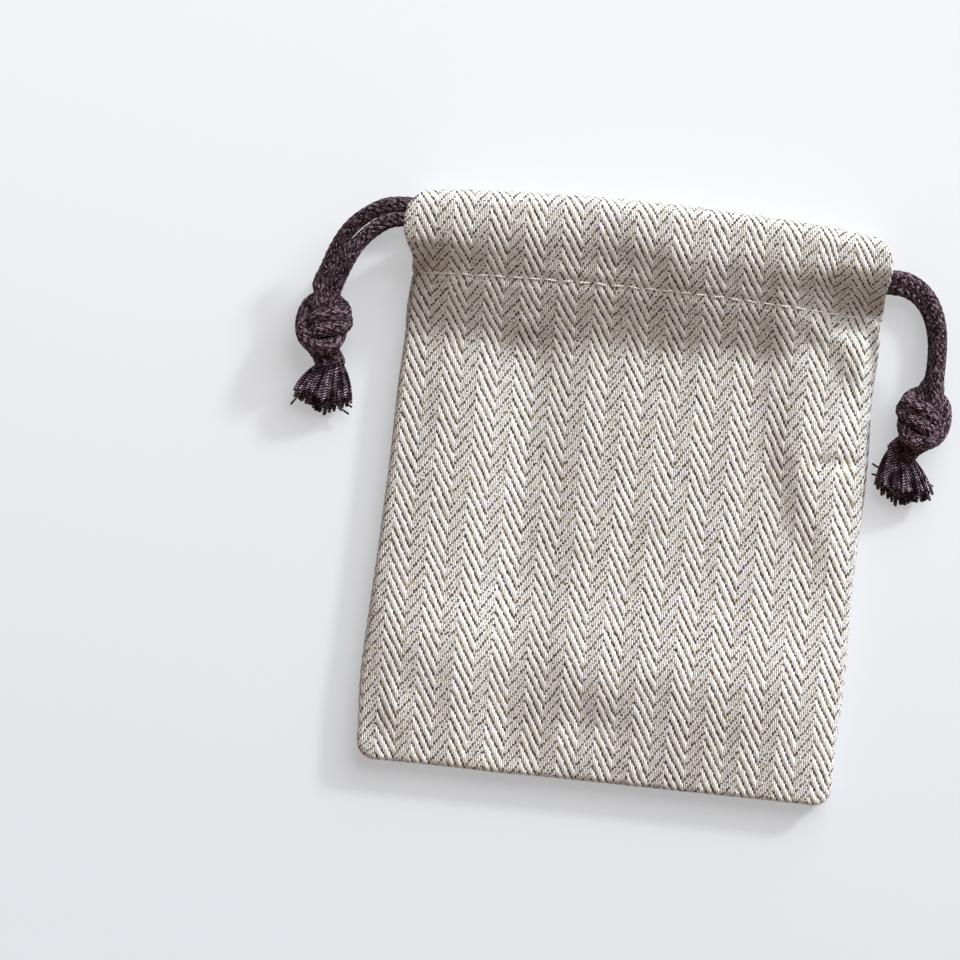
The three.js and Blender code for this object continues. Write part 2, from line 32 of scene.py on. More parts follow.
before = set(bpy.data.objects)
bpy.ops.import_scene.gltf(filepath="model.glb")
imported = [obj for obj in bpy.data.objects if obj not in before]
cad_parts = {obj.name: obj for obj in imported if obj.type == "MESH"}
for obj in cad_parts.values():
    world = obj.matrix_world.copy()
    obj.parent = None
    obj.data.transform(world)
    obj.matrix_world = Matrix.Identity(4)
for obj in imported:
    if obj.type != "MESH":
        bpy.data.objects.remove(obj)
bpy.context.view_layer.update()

# The photograph's frame
PHOTO_WIDTH = 200 * MM
PHOTO_CENTRE = (-29.7 * MM, -0.4 * MM)
PHOTO_TURN = math.radians(6)
CAMERA_HEIGHT = 2.0
CLOTH_HEIGHT = 8 * MM
SENSOR = 36.0

# Cloth. Widths are from the middle to one side.
SHEET = 0.55 * MM
POUCH_LENGTH = 121.5 * MM
BODY_HALF_WIDTH = 49.7 * MM
WAIST_HALF_WIDTH = 48.5 * MM
CASING_HALF_WIDTH = 51 * MM
CASING_DEPTH = 18 * MM
BOTTOM_Y = -POUCH_LENGTH / 2
FOLD_Y = POUCH_LENGTH / 2
STITCH_Y = FOLD_Y - CASING_DEPTH
FOLD_ARCH = 2.4 * MM
STITCH_ARCH = 1.6 * MM
CORNER_RADIUS = 4 * MM
SIDE_FOLD = 1.2 * MM
END_FOLD = 0.36 * MM
ALLOWANCE = 6 * MM
END_ALLOWANCE = 0.6 * MM
FRONT_EDGE_Z = 4.85 * MM
BODY_Z = 7.2 * MM
ROLL_BOTTOM = 10.25 * MM
ROLL_TOP = 17.5 * MM
CREST_Y = 54.5 * MM
FOOT_Y = 28 * MM
BACK_LOW = 0.3 * MM
BACK_ROLL_TOP = 5.4 * MM
HEM_BELOW = 1.6 * MM
HEM_TURN = SHEET * 0.85
HEM_TUCK = 5 * MM
CASING_LAYERS_APART = 2.6 * MM
INNER_HEM_Z = 2.8 * MM
BACK_HEM_Z = 2.3 * MM
WIDEST_COLUMN = 50.16 * MM
STRAIGHT_COLUMNS = 38 * MM
ROWS_LEVEL_FROM = 40 * MM
EDGE_CHANGE_ROWS = 8
ROUNDED_ROWS = 16
BOTTOM_ROWS = 20
INSIDE_ROWS = 12
HEM_ROWS = 4
FOLD_RINGS = 8
ALLOWANCE_RINGS = 3
WOVEN_RINGS = 6

# Weave, measured on the photograph
YARN = 0.4222 * MM
WALE_PERIOD = 18 * YARN
BOLD_WALE = 10 * YARN
BOLD_START = -45.9 * MM
ROPE_PITCH = 2.96 * MM
BOLD_SLOPE = 1.72
FINE_SLOPE = 1.5
TURN_DROP = 1.85 * MM
WALE_LEAN = 0.0225
ROW_LEAN = 0.03
WANDER = 0.22 * MM
ROPE_RELIEF = 0.2 * MM
BOLD_GAP = 0.1
FINE_GAP = 0.085
BOLD_SLANT = 0.05
FINE_SLANT = -0.02
BOLD_WOBBLE = 0.12
FINE_WOBBLE = 0.13
FINE_RAMP = 1.2

# Cords
CORD = 3.2 * MM
CHANNEL_OVERLAP = 41 * MM
JOIN_X = 48 * MM
JOINT_GAP = 0.3 * MM
TURN_INSET = 8 * MM
RING_GAP = 0.2 * MM
CURVE_STEPS = 24
BRAID_SIDES = 50
BRAID_STRANDS = 8
BRAID_STEP = 1.7 * MM
BRAID_RELIEF = 0.15 * MM
STRAND_YARNS = 3.0
TASSEL_LENGTH = 9.5 * MM
TASSEL_YARNS = 120
YARN_RADIUS = 0.3 * MM
YARN_SIDES = 8
YARN_STEP = 0.35 * MM
YARN_TWIST = 1.3 * MM
GOLDEN_ANGLE = 2.39996

# Stitches
THREAD = 0.32 * MM
THREAD_SIDES = 8
THREAD_TURNS_PER_METRE = 1400.0
STITCH_PITCH = 3.5 * MM
STITCH_SHOWN = 0.84
STITCH_POINTS = 9
THREAD_TAIL = [(-45.6, 41.2), (-46.4, 41.9), (-46.7, 42.6), (-46.1, 43.4)]

# Colours, and the table's own glow towards the camera
CREAM_LIGHT = (0.96, 0.94, 0.935, 1)
CREAM_DARK = (0.78, 0.75, 0.73, 1)
# CREAM_SHADE darkens the cream's fibre streaks at random, and is the painted shade at the ends of the floats.
CREAM_SHADE = (0.45, 0.41, 0.37, 1)
CREAM_FUZZ = (1, 0.97, 0.92, 1)
WEFT_DARK = (0.062, 0.036, 0.016, 1)
# The weft's grey is also the colour of the painted shade in the grooves between yarns.
WEFT_GREY_AND_GROOVE_SHADE = (0.17, 0.11, 0.06, 1)
WEFT_GOLD = (0.42, 0.31, 0.13, 1)
BROWN = (0.040, 0.021, 0.029, 1)
BROWN_DARK = (0.016, 0.007, 0.011, 1)
# The colour of painted shade in the cords' grooves and crevices.
BROWN_PAINTED_SHADE = (0.003, 0.001, 0.002, 1)
BROWN_FUZZ = (0.75, 0.6, 0.66, 1)
# A painted highlight colour, laid along the crests of the cords' yarns.
MAUVE_HIGHLIGHT = (0.56, 0.38, 0.45, 1)
# A paler painted highlight colour, for the frayed yarns.
MAUVE_PALE_HIGHLIGHT = (0.74, 0.56, 0.68, 1)
THREAD_LIGHT = (0.95, 0.92, 0.88, 1)
THREAD_SHADE = (0.62, 0.56, 0.50, 1)
# The table's two colours paint a falloff of light, paler on the side the light comes from.
FLOOR_MORE_LIT = (0.81, 0.82, 0.845, 1)
FLOOR_LESS_LIT = (0.67, 0.69, 0.72, 1)
FLOOR_GLOW = 1.15
FLOOR_GLOW_SHARE = 0.45

# Light
SUN_FROM = (0.70, 0.72, 0.41)
SUN_STRENGTH = 2.8
SUN_SOFTNESS = 0.12
WINDOW_FROM = (0.48, 0.88, 0.66)
WINDOW_STRENGTH = 3.3
WINDOW_SOFTNESS = 1.1
DAYLIGHT = (0.895, 0.955, 1)
SKY = (1, 0.79, 0.65, 1)
SKY_STRENGTH = 0.30


def smooth(t):
    """An even rise from 0 at t = 0 to 1 at t = 1, level at both ends."""
    c = np.clip(t, 0, 1)
    return c * c * (3 - 2 * c)


def mix(a, b, t):
    return a + (b - a) * t


def unit(v):
    """Vectors of length 1, along the last axis."""
    return v / np.maximum(np.linalg.norm(v, axis=-1, keepdims=True), 1e-12)


def added(name, data):
    """A new object of the scene."""
    obj = bpy.data.objects.new(name, data)
    bpy.context.scene.collection.objects.link(obj)
    return obj


def new_object(name, points, faces, uvs=None):
    mesh = bpy.data.meshes.new(name)
    mesh.from_pydata([tuple(p) for p in points], [], faces)
    if uvs is not None:
        layer = mesh.uv_layers.new(name="cloth")
        loops = np.zeros(len(mesh.loops), np.int32)
        mesh.loops.foreach_get("vertex_index", loops)
        layer.data.foreach_set("uv", np.asarray(uvs, np.float32)[loops].ravel())
    mesh.polygons.foreach_set("use_smooth", [True] * len(mesh.polygons))
    mesh.update()
    return added(name, mesh)


def face_outwards(obj, mixed=False):
    """Turns a closed mesh's faces outwards. Faces of mixed directions are first turned the same way."""
    mesh = bmesh.new()
    mesh.from_mesh(obj.data)
    if mixed:
        bmesh.ops.recalc_face_normals(mesh, faces=mesh.faces)
        mesh.to_mesh(obj.data)
    if mesh.calc_volume(signed=True) < 0:
        obj.data.flip_normals()
    mesh.free()


# Camera


def make_camera():
    data = bpy.data.cameras.new("camera")
    data.sensor_width = SENSOR
    data.lens = SENSOR * CAMERA_HEIGHT / PHOTO_WIDTH
    data.clip_end = 10
    camera = added("camera", data)
    camera.location = (*PHOTO_CENTRE, CAMERA_HEIGHT + CLOTH_HEIGHT)
    camera.rotation_euler = (0, 0, PHOTO_TURN)
    bpy.context.scene.camera = camera


make_camera()

# Cord routes, as in the part's source

BACK_CORD_Z = 2.7 * MM
EXIT = CASING_HALF_WIDTH

# Lists of places are in millimetres. A route goes by steps out from the casing's end, steps along the
# pouch from where the cord leaves, and heights. Strays are single yarns that stick out of the frayed ends.
PULLS = {
    "right": {
        "side": 1,
        "front_y": 50.4 * MM,
        "front_z": 13.1 * MM,
        "back_y": 48.6 * MM,
        "knot": (61, 22.8, 5),
        "turn": -13.6,
        "drift": 3 * MM,
        "entry": (0.25, 0, 0.97),
        "front_route": [
            (3.4, -0.3, 12.7), (6.6, -1.9, 11.5), (9.2, -4.8, 10),
            (10.9, -8.8, 8.7), (11.6, -13.2, 7.6),
        ],
        "back_route": [
            (3.4, -0.2, 2.6), (6.3, -1.5, 2.2), (8.8, -4.2, 1.95),
            (10.4, -8, 1.95), (11.1, -12.2, 2.4),
        ],
        "strays": [
            [(57.6, 15.5, 2.6), (56.2, 12.9, 2.4), (54.2, 11.4, 1.9), (52.7, 11.0, 1.3), (51.5, 11.6, 0.9)],
            [(57.4, 13.6, 2.2), (55.4, 10.6, 1.8), (53.4, 9.3, 1.3), (51.6, 9.4, 0.8)],
            [(59.4, 13.9, 3.4), (61.3, 10.9, 3.6), (63.0, 9.2, 3.3), (64.6, 8.1, 2.9)],
        ],
    },
    "left": {
        "side": -1,
        "front_y": 54.9 * MM,
        "front_z": 14.3 * MM,
        "back_y": 52.2 * MM,
        "knot": (-65.5, 29.5, 5),
        "turn": -3,
        "drift": 1.2 * MM,
        "entry": (0.85, 0, 0.5),
        "front_route": [
            (3.6, -0.5, 13.7), (7.2, -2.4, 11.9), (10.8, -5.7, 9.8),
            (13.4, -10.3, 8.1), (14.9, -14.7, 6.9),
        ],
        "back_route": [
            (3.2, -0.7, 2.6), (6.2, -2.8, 2.4), (9, -5.9, 2.3),
            (11, -9.8, 2.6), (12.4, -13.6, 3.2),
        ],
        "strays": [
            [(-63.2, 20.6, 3.4), (-61.9, 16.2, 3.6), (-60.2, 13.4, 3.2), (-57.9, 11.9, 2.6)],
            [(-63.4, 19.8, 3.4), (-61.9, 15.2, 3.4), (-60.9, 12.1, 2.8), (-58.4, 10.4, 2.0)],
            [(-64.6, 20.4, 3.2), (-67.1, 16.4, 3.0), (-69.3, 13.2, 2.3), (-70.7, 11.2, 1.6)],
        ],
    },
}


def knot_route(entry):
    """The middle between a knot's two strands, the way from one to the other and half their distance."""
    in_millimetres = [
        (-0.4, -7.4, 0, *entry, 1.85),
        (-0.3, -5.2, 0.5, 0.7, 0, 0.7, 1.6),
        (0, -2.6, 1, 0.9, 0.1, 0.4, 1.4),
        (-0.8, 0.2, -0.2, 0.95, 0.3, 0.1, 1.4),
        (-2.6, 2.7, -0.1, 0.5, 0.5, 0.7, 1.4),
        (-2.2, 4.9, 0.5, 0, 0.1, 1, 1.35),
        (0.6, 5.8, 1.2, 0, -0.1, 1, 1.35),
        (3.4, 4.4, 0.8, 0, 0, 1, 1.35),
        (4.3, 1.2, -0.4, 0.1, 0, 1, 1.3),
        (3.2, -2.2, -1.8, 0, -0.6, 0.8, 1.3),
        (0.2, -3.5, -2.4, 0, -0.9, 0.4, 1.3),
        (-3.2, -2.4, -1.4, 0.3, -0.8, 0.5, 1.3),
        (-4.2, -0.4, 0.8, 0.1, -0.85, 0.5, 1.3),
        (-1.8, 0.2, 2.7, 0.1, -1, 0.1, 1.4),
        (1.2, 1, 2.6, 0.2, -0.95, -0.1, 1.35),
        (2.3, 2.8, 0.5, -0.5, -0.7, -0.4, 1.3),
        (1, 5, -2, -0.95, -0.2, -0.1, 1.4),
        (-0.8, 7.2, -2.5, -1, -0.1, 0, 1.5),
        (-1.8, 9.2, -2.5, -1, -0.2, 0, 1.6),
    ]
    return [(u * MM, v * MM, w * MM, *way, half * MM) for u, v, w, *way, half in in_millimetres]


def knot_place(pull):
    """Turns a knot's own measures (across, along, up) into a place beside the pouch."""
    side = pull["side"]
    turn = math.radians(pull["turn"])
    centre = np.array(pull["knot"]) * MM
    across = np.array([side * math.cos(turn), math.sin(turn), 0])
    along = np.array([side * math.sin(turn), -math.cos(turn), 0])
    up = np.array([0, 0, 1])
    return lambda u, v, w: centre + u * across + v * along + w * up


def strand_points(pull, hand):
    """A strand's points from inside the casing to the end of its knot. hand is 1 for the front one."""
    side = pull["side"]
    y = pull["front_y"] if hand > 0 else pull["back_y"]
    z = pull["front_z"] if hand > 0 else BACK_CORD_Z
    route = pull["front_route"] if hand > 0 else pull["back_route"]
    inside = [(side * x, y, z) for x in np.linspace(EXIT - CHANNEL_OVERLAP, EXIT, 5)]
    free = [(side * (EXIT + out), y + along, height) for out, along, height in np.array(route) * MM]
    place = knot_place(pull)
    knot = []
    for u, v, w, pu, pv, pw, half in knot_route(pull["entry"]):
        step = hand * half / math.hypot(pu, pv, pw)
        knot.append(place(u + pu * step, v + pv * step, w + pw * step))
    return np.array([*inside, *free, *knot])


def curve_through(points, spacing):
    """A smooth line through points, with points of its own about a spacing apart."""
    p = np.asarray(points, float)
    p = np.vstack([2 * p[0] - p[1], p, 2 * p[-1] - p[-2]])
    fine = []
    for a, b, c, d in zip(p, p[1:], p[2:], p[3:]):
        t0 = 0
        t1 = t0 + math.sqrt(np.linalg.norm(b - a))
        t2 = t1 + math.sqrt(np.linalg.norm(c - b))
        t3 = t2 + math.sqrt(np.linalg.norm(d - c))
        for t in np.linspace(t1, t2, CURVE_STEPS, endpoint=False):
            ab = mix(a, b, (t - t0) / (t1 - t0))
            bc = mix(b, c, (t - t1) / (t2 - t1))
            cd = mix(c, d, (t - t2) / (t3 - t2))
            abc = mix(ab, bc, (t - t0) / (t2 - t0))
            bcd = mix(bc, cd, (t - t1) / (t3 - t1))
            fine.append(mix(abc, bcd, (t - t1) / (t2 - t1)))
    fine.append(p[-2])
    return respaced(np.array(fine), spacing)


def travelled(line):
    """The distance along a line to each of its points."""
    return np.concatenate([[0], np.cumsum(np.linalg.norm(np.diff(line, axis=0), axis=1))])


def respaced(line, spacing):
    along = travelled(line)
    at = np.linspace(0, along[-1], max(2, round(along[-1] / spacing)) + 1)
    return np.stack([np.interp(at, along, line[:, k]) for k in range(3)], axis=1)


# Panels


def crown(t, power=4):
    """A rounded rise from 0 at t = 0 to 1 at t = 1, steepest at its start."""
    return 1 - (1 - np.clip(t, 0, 1)) ** power


def stitch_y(x):
    return STITCH_Y - STITCH_ARCH * (x / WAIST_HALF_WIDTH) ** 2


def fold_y(x):
    return FOLD_Y - FOLD_ARCH * (x / CASING_HALF_WIDTH) ** 2


def half_width(y):
    """The body's width from its middle to one side, a little narrower towards the casing."""
    start = BOTTOM_Y + 50 * MM
    taper = smooth((y - start) / (STITCH_Y - start))
    return mix(BODY_HALF_WIDTH, WAIST_HALF_WIDTH, taper) + 0.25 * MM * np.sin(y / (7 * MM))


def hump(value, middle, width):
    """1 where the value is at the middle, and 0.37 one width away."""
    return np.exp(-(((value - middle) / width) ** 2))


def sideways(x, y):
    """How far the cloth is drawn to the right along its side edges, pinched above the stitches' ends."""
    on_body = 1 - smooth((y - STITCH_Y) / (9 * MM))
    x, y = x / MM, y / MM
    right = on_body * (mix(0.6, 1.3, smooth((y + 30) / 60)) + 0.9 * hump(y, 35, 7)) - 1.6 * hump(y, 46, 3.2)
    left = 0.65 * hump(y, 6, 13) - 0.7 * hump(y, -45, 11) - 0.4 * hump(y, 34, 4) + 1.8 * hump(y, 45, 3)
    return (right * smooth((x + 20) / 65) + left * smooth((20 - x) / 65)) * MM


def swell(x, y, size, seed):
    """Soft hills and hollows about one size across, from -1 to 1."""
    flat = zip(np.ravel(x / size), np.ravel(y / size))
    heights = [noise.noise(Vector((a, b, seed))) for a, b in flat]
    return np.array(heights).reshape(np.shape(x))


def zigzag(u):
    """How far the twill line has dropped across the wales at u."""
    across = np.mod(u - BOLD_START, WALE_PERIOD)
    bold = across < BOLD_WALE
    falling = -BOLD_SLOPE * across
    rising = -BOLD_SLOPE * BOLD_WALE - TURN_DROP + FINE_SLOPE * (across - BOLD_WALE)
    return np.where(bold, falling, rising), bold


def rope_height(u, v):
    """The twill's ropes, from 0 in the grooves to 1, flatter in the fine wales."""
    drop, bold = zigzag(u)
    round_rope = np.abs(np.cos(np.pi * (v - drop) / ROPE_PITCH)) ** 0.8
    return np.where(bold, round_rope, 0.45 + 0.3 * round_rope)


def woven(u, v):
    """Where the weave's own measures lie on the cloth: a little out of square, and wandering."""
    low = BOTTOM_Y + 9 * MM
    du = WALE_LEAN * (v - low) + WANDER * swell(u, v, 6 * MM, 12.4)
    dv = ROW_LEAN * u + WANDER * swell(u, v, 4 * MM, 25.1)
    return u + du, v + dv


def vertex_normals(p):
    """Normals of a grid of points."""
    return unit(np.cross(np.gradient(p, axis=1), np.gradient(p, axis=0)))


def casing_reach(depth, outer):
    """Half the casing's width at a distance from its lower edge, where its own side folds start."""
    total = CASING_DEPTH + HEM_BELOW
    flare = smooth(depth / (8 * MM))
    corner = np.clip((depth - total + 8 * MM) / (8 * MM), 0, 1) ** 2
    full = mix(WAIST_HALF_WIDTH, CASING_HALF_WIDTH, flare) - 1.6 * MM * corner
    if outer:
        return full
    inset = mix(3 * MM, 7.5 * MM, smooth((depth - 2 * MM) / (4 * MM)))
    return full - inset * smooth((total - depth) / (4 * MM))


def squeezed(columns, reach):
    """Columns that run straight up the middle and draw together beside the side edges."""
    out = np.abs(columns)
    squeeze = (reach - STRAIGHT_COLUMNS) / (out.max() - STRAIGHT_COLUMNS)
    side = np.maximum(out - STRAIGHT_COLUMNS, 0) * squeeze
    return np.sign(columns) * (np.minimum(out, STRAIGHT_COLUMNS) + side)


def climb(x, y):
    """The cloth's way up from the body, at 0, to the casing's crest, at 1, steepest in the middle."""
    x, y = x / MM, y / MM
    foot = FOOT_Y / MM + 1.4 * swell(x, y * 0.2, 10, 2.3)
    foot = foot - 2 * smooth((-12 - x) / 16) + 10 * smooth((x - 28) / 13)
    crest = CREST_Y / MM + 1.2 * swell(x, y * 0, 17, 8.8)
    crest = crest - 1.5 * smooth((x - 2) / 8) + 1.8 * hump(x, -9, 11)
    t = np.clip((y - foot) / (crest - foot), 0, 1)
    start, end = 0.2, 0.28
    steepness = 1 / (1 - (start + end) / 2)
    foot_curve = steepness * t**2 / (2 * start)
    crest_curve = 1 - steepness * (1 - t) ** 2 / (2 * end)
    slope = steepness * (t - start / 2)
    return np.where(t < start, foot_curve, np.where(t < 1 - end, slope, crest_curve))


def folds(x, y):
    """The soft folds of the body: a terrace on the right, a valley on the left and small hollows."""
    x, y = x / MM, y / MM
    terrace_x = 28.8 + 0.0095 * np.maximum(26.5 - y, 0) ** 2
    terrace = 2.4 * smooth((x - terrace_x) / 10 + 0.5) * smooth((y + 26) / 34) * smooth((42 - y) / 13)
    valley_x = mix(-22, -19, smooth((30 - y) / 50))
    valley = 2.2 * hump(x, valley_x, 8.5) * smooth((34 - y) / 10)
    dimple = hump(x, -1, 6) * hump(y, -50, 5)
    ridge = 1.4 * hump(y, -36, 12)
    hills = 0.35 * swell(x, y, 26, 3.1) + 0.2 * swell(x, y, 9, 7.7)
    return (terrace - valley - dimple + ridge + hills) * MM


def corner_folds(x, y):
    """The creases beside the edges: a step, a crease and a dent on the right, and a bulge lower left."""
    x, y = x / MM, y / MM
    off_step = (x - 38.6) * 0.63 + (y - 33.8) * 0.776
    step = 2.8 * smooth(off_step / 7.5 + 0.5) * smooth((x - 28) / 8) * smooth((43 - y) / 7)
    crease = 0.9 * hump(y - 0.15 * (x - 42), 10.5, 1.7) * smooth((x - 34) / 8)
    dent = 0.9 * hump(x, 46, 2.2) * hump(y, 0.5, 3.5)
    bulge = 0.9 * hump(x, -41.5, 3) * hump(y, -50, 4.5)
    return (step + bulge - crease - dent) * MM


def front_z(x, y, reach):
    """Height of the front panel's outer face."""
    inset = (reach - np.abs(x)) / reach
    end = crown((y - BOTTOM_Y - SIDE_FOLD) / (26 * MM), 2.6)
    rise = climb(x, y)
    body = (BODY_Z - FRONT_EDGE_Z) * end
    creased = folds(x, y) * (1 - rise) * end
    sewn = 0.45 * MM * hump(y, stitch_y(x), 1.1 * MM)
    corner = corner_folds(x, y) * smooth((reach - np.abs(x)) / (3 * MM))
    level = FRONT_EDGE_Z + crown(inset) * (body - sewn) + crown(inset, 10) * creased + corner
    return level + crown(inset, 14) * (ROLL_TOP - BODY_Z) * rise


def panel_rows(front, columns, row_gap):
    """A panel's outer face as a grid of points, from its bottom edge up over the casing to the hem inside."""
    points = []
    y0 = BOTTOM_Y + SIDE_FOLD
    corner = CORNER_RADIUS - SIDE_FOLD
    body_rows = round((STITCH_Y - y0) / row_gap)
    top = ROLL_TOP if front else BACK_ROLL_TOP
    low = ROLL_BOTTOM if front else BACK_LOW
    radius = (top - low) / 2
    up = 1 if front else -1
    for j in range(body_rows + 1):
        y_row = y0 + (STITCH_Y - y0) * j / body_rows
        reach = half_width(y_row) - SIDE_FOLD
        x = squeezed(columns, reach)
        bend = smooth((y_row - STITCH_Y + 20 * MM) / (20 * MM))
        y = y_row + bend * (stitch_y(x) - STITCH_Y)
        q1 = np.clip((np.abs(x) - reach + corner) / corner, 0, 1)
        q2 = np.clip((y0 + corner - y) / corner, 0, 1)
        x = np.where(q1 > 0, np.sign(x) * (reach - corner + corner * q1 * np.sqrt(1 - q2**2 / 2)), x)
        y = np.where(q2 > 0, y0 + corner - corner * q2 * np.sqrt(1 - q1**2 / 2), y)
        z = front_z(x, y, reach) if front else np.full_like(x, BACK_LOW)
        points.append(np.stack([x + sideways(x, y), y, z], axis=1))
    straight = round((CASING_DEPTH - radius) / row_gap)
    seam_x = WAIST_HALF_WIDTH - SIDE_FOLD

    def casing_point(share, outer, edge_fold=END_FOLD):
        x = squeezed(columns, casing_reach(HEM_BELOW + share * (CASING_DEPTH - radius), outer) - edge_fold)
        y = mix(stitch_y(x), fold_y(x) - radius, share)
        if not front:
            z = low if outer else mix(BACK_HEM_Z, top, smooth((y - stitch_y(x)) / (6 * MM)))
            return np.stack([x + sideways(x, y), y, np.broadcast_to(z, x.shape)], axis=1)
        puff = smooth((y - stitch_y(x)) / (7 * MM))
        sewn = front_z(np.clip(x, -seam_x, seam_x), y, seam_x)
        open_end = FRONT_EDGE_Z + (ROLL_TOP - FRONT_EDGE_Z) * climb(x, y)
        z = mix(sewn, open_end, puff)
        if not outer:
            hem = np.maximum(sewn - CASING_LAYERS_APART, INNER_HEM_Z)
            z = np.minimum(mix(hem, low, puff**0.5), z - CASING_LAYERS_APART)
        return np.stack([x + sideways(x, y), y, z], axis=1)

    for j in range(1, straight + 1):
        edge_fold = mix(SIDE_FOLD, END_FOLD, smooth(j / EDGE_CHANGE_ROWS))
        points.append(casing_point(j / straight, True, edge_fold))
    turn_rows = max(8, round(math.pi * radius / row_gap))
    outer, inner = casing_point(1, True), casing_point(1, False)
    for j in range(1, turn_rows):
        t = j / turn_rows
        p = mix(outer, inner, t)
        p[:, 1] = outer[:, 1] + radius * math.sin(math.pi * t)
        p[:, 2] = mix(outer[:, 2], inner[:, 2], (1 - math.cos(math.pi * t)) / 2)
        points.append(p)
    for share in np.linspace(1, 0, INSIDE_ROWS + 1):
        points.append(casing_point(share, False))
    last = points[-1]
    for j in range(1, HEM_ROWS + 1):
        angle = math.pi * j / HEM_ROWS
        down = HEM_BELOW * min(1, 2 * j / HEM_ROWS) + HEM_TURN * math.sin(angle)
        points.append(last + [0, -down, up * HEM_TURN * (1 - math.cos(angle))])
    points.append(points[-1] + [0, HEM_TUCK, 0])
    hidden = straight + body_rows + turn_rows
    return np.array(points), body_rows, hidden


def turned_edges(grid, path, body_rows, front):
    """The cloth's side and bottom allowances, folded inside: rings of points along the panel's edge."""
    up = 1 if front else -1
    normals = vertex_normals(grid)
    if normals[body_rows // 2, normals.shape[1] // 2, 2] * up < 0:
        normals = -normals
    edge = grid[path[:, 0], path[:, 1]]
    n = normals[path[:, 0], path[:, 1]]
    out = unit(np.cross(np.gradient(edge, axis=0), n))
    centre = grid[body_rows // 2, grid.shape[1] // 2]
    side = np.stack([np.sign(edge[:, 0]), np.zeros(len(edge))], axis=1)
    flat_out = np.where((path[:, 0] > BOTTOM_ROWS)[:, None], side, edge[:, :2] - centre[:2])
    out *= np.sign((out[:, :2] * flat_out).sum(1))[:, None]
    on_body = path[:, 0] <= body_rows
    share = smooth((path[:, 0] - body_rows) / EDGE_CHANGE_ROWS)
    radius = mix(SIDE_FOLD, END_FOLD, share)
    lean = np.arcsin(np.clip(-out[:, 2] * up, 0, 1)) * (1 - share)
    full = math.pi - lean
    near_corner = hump(np.abs(edge[:, 0]), 48 * MM, 6 * MM) * (path[:, 0] < ROUNDED_ROWS)
    near_turn = hump(path[:, 0], body_rows + 2, EDGE_CHANGE_ROWS)
    allowance = mix(ALLOWANCE, END_ALLOWANCE, share) - 3.8 * MM * near_corner
    allowance = mix(allowance, END_ALLOWANCE, near_turn)
    plan = np.where(on_body[:, None], unit(out[:, :2]), side)
    rings, ring_normals, travel = [], [], []
    for i in range(1, FOLD_RINGS + 1):
        a = (full * i / FOLD_RINGS)[:, None]
        direction = n * np.cos(a) + out * np.sin(a)
        rings.append(edge - n * radius[:, None] + direction * radius[:, None])
        ring_normals.append(direction)
        travel.append(radius * full * i / FOLD_RINGS)
    heading = -n * np.sin(full)[:, None] + out * np.cos(full)[:, None]
    fold_end, fold_normal, fold_travel = rings[-1], ring_normals[-1], travel[-1]
    for i in range(1, ALLOWANCE_RINGS + 1):
        rings.append(fold_end + heading * (allowance * i / ALLOWANCE_RINGS)[:, None])
        ring_normals.append(fold_normal)
        travel.append(fold_travel + allowance * i / ALLOWANCE_RINGS)
    return np.array(rings), np.array(ring_normals), np.array(travel), plan, normals


def edge_path(rows, columns):
    """The panel's edge down the left side, along the bottom and up the right side."""
    left = [(r, columns[0]) for r in reversed(rows)]
    bottom = [(rows[0], c) for c in columns[1:-1]]
    right = [(r, columns[-1]) for r in rows]
    return np.array(left + bottom + right)


def shell_faces(rows, columns, path, at, ring_at, ring_count):
    """Quads of one skin: the grid between the given rows and columns, and the rings round its edge."""
    faces = []
    for r0, r1 in zip(rows, rows[1:]):
        for c0, c1 in zip(columns, columns[1:]):
            faces.append((at(r0, c0), at(r0, c1), at(r1, c1), at(r1, c0)))
    previous = [at(r, c) for r, c in path]
    for k in range(ring_count):
        ring = [ring_at(k, b) for b in range(len(path))]
        for b in range(len(path) - 1):
            faces.append((previous[b], previous[b + 1], ring[b + 1], ring[b]))
        previous = ring
    return faces


def rim_faces(fine, coarse, positions):
    """Joins the outer skin's last points to the inner skin's. Each inner step spans several outer ones."""
    steps = zip(positions, positions[1:], coarse, coarse[1:])
    return [(*fine[start : end + 1], b, a) for start, end, a, b in steps]


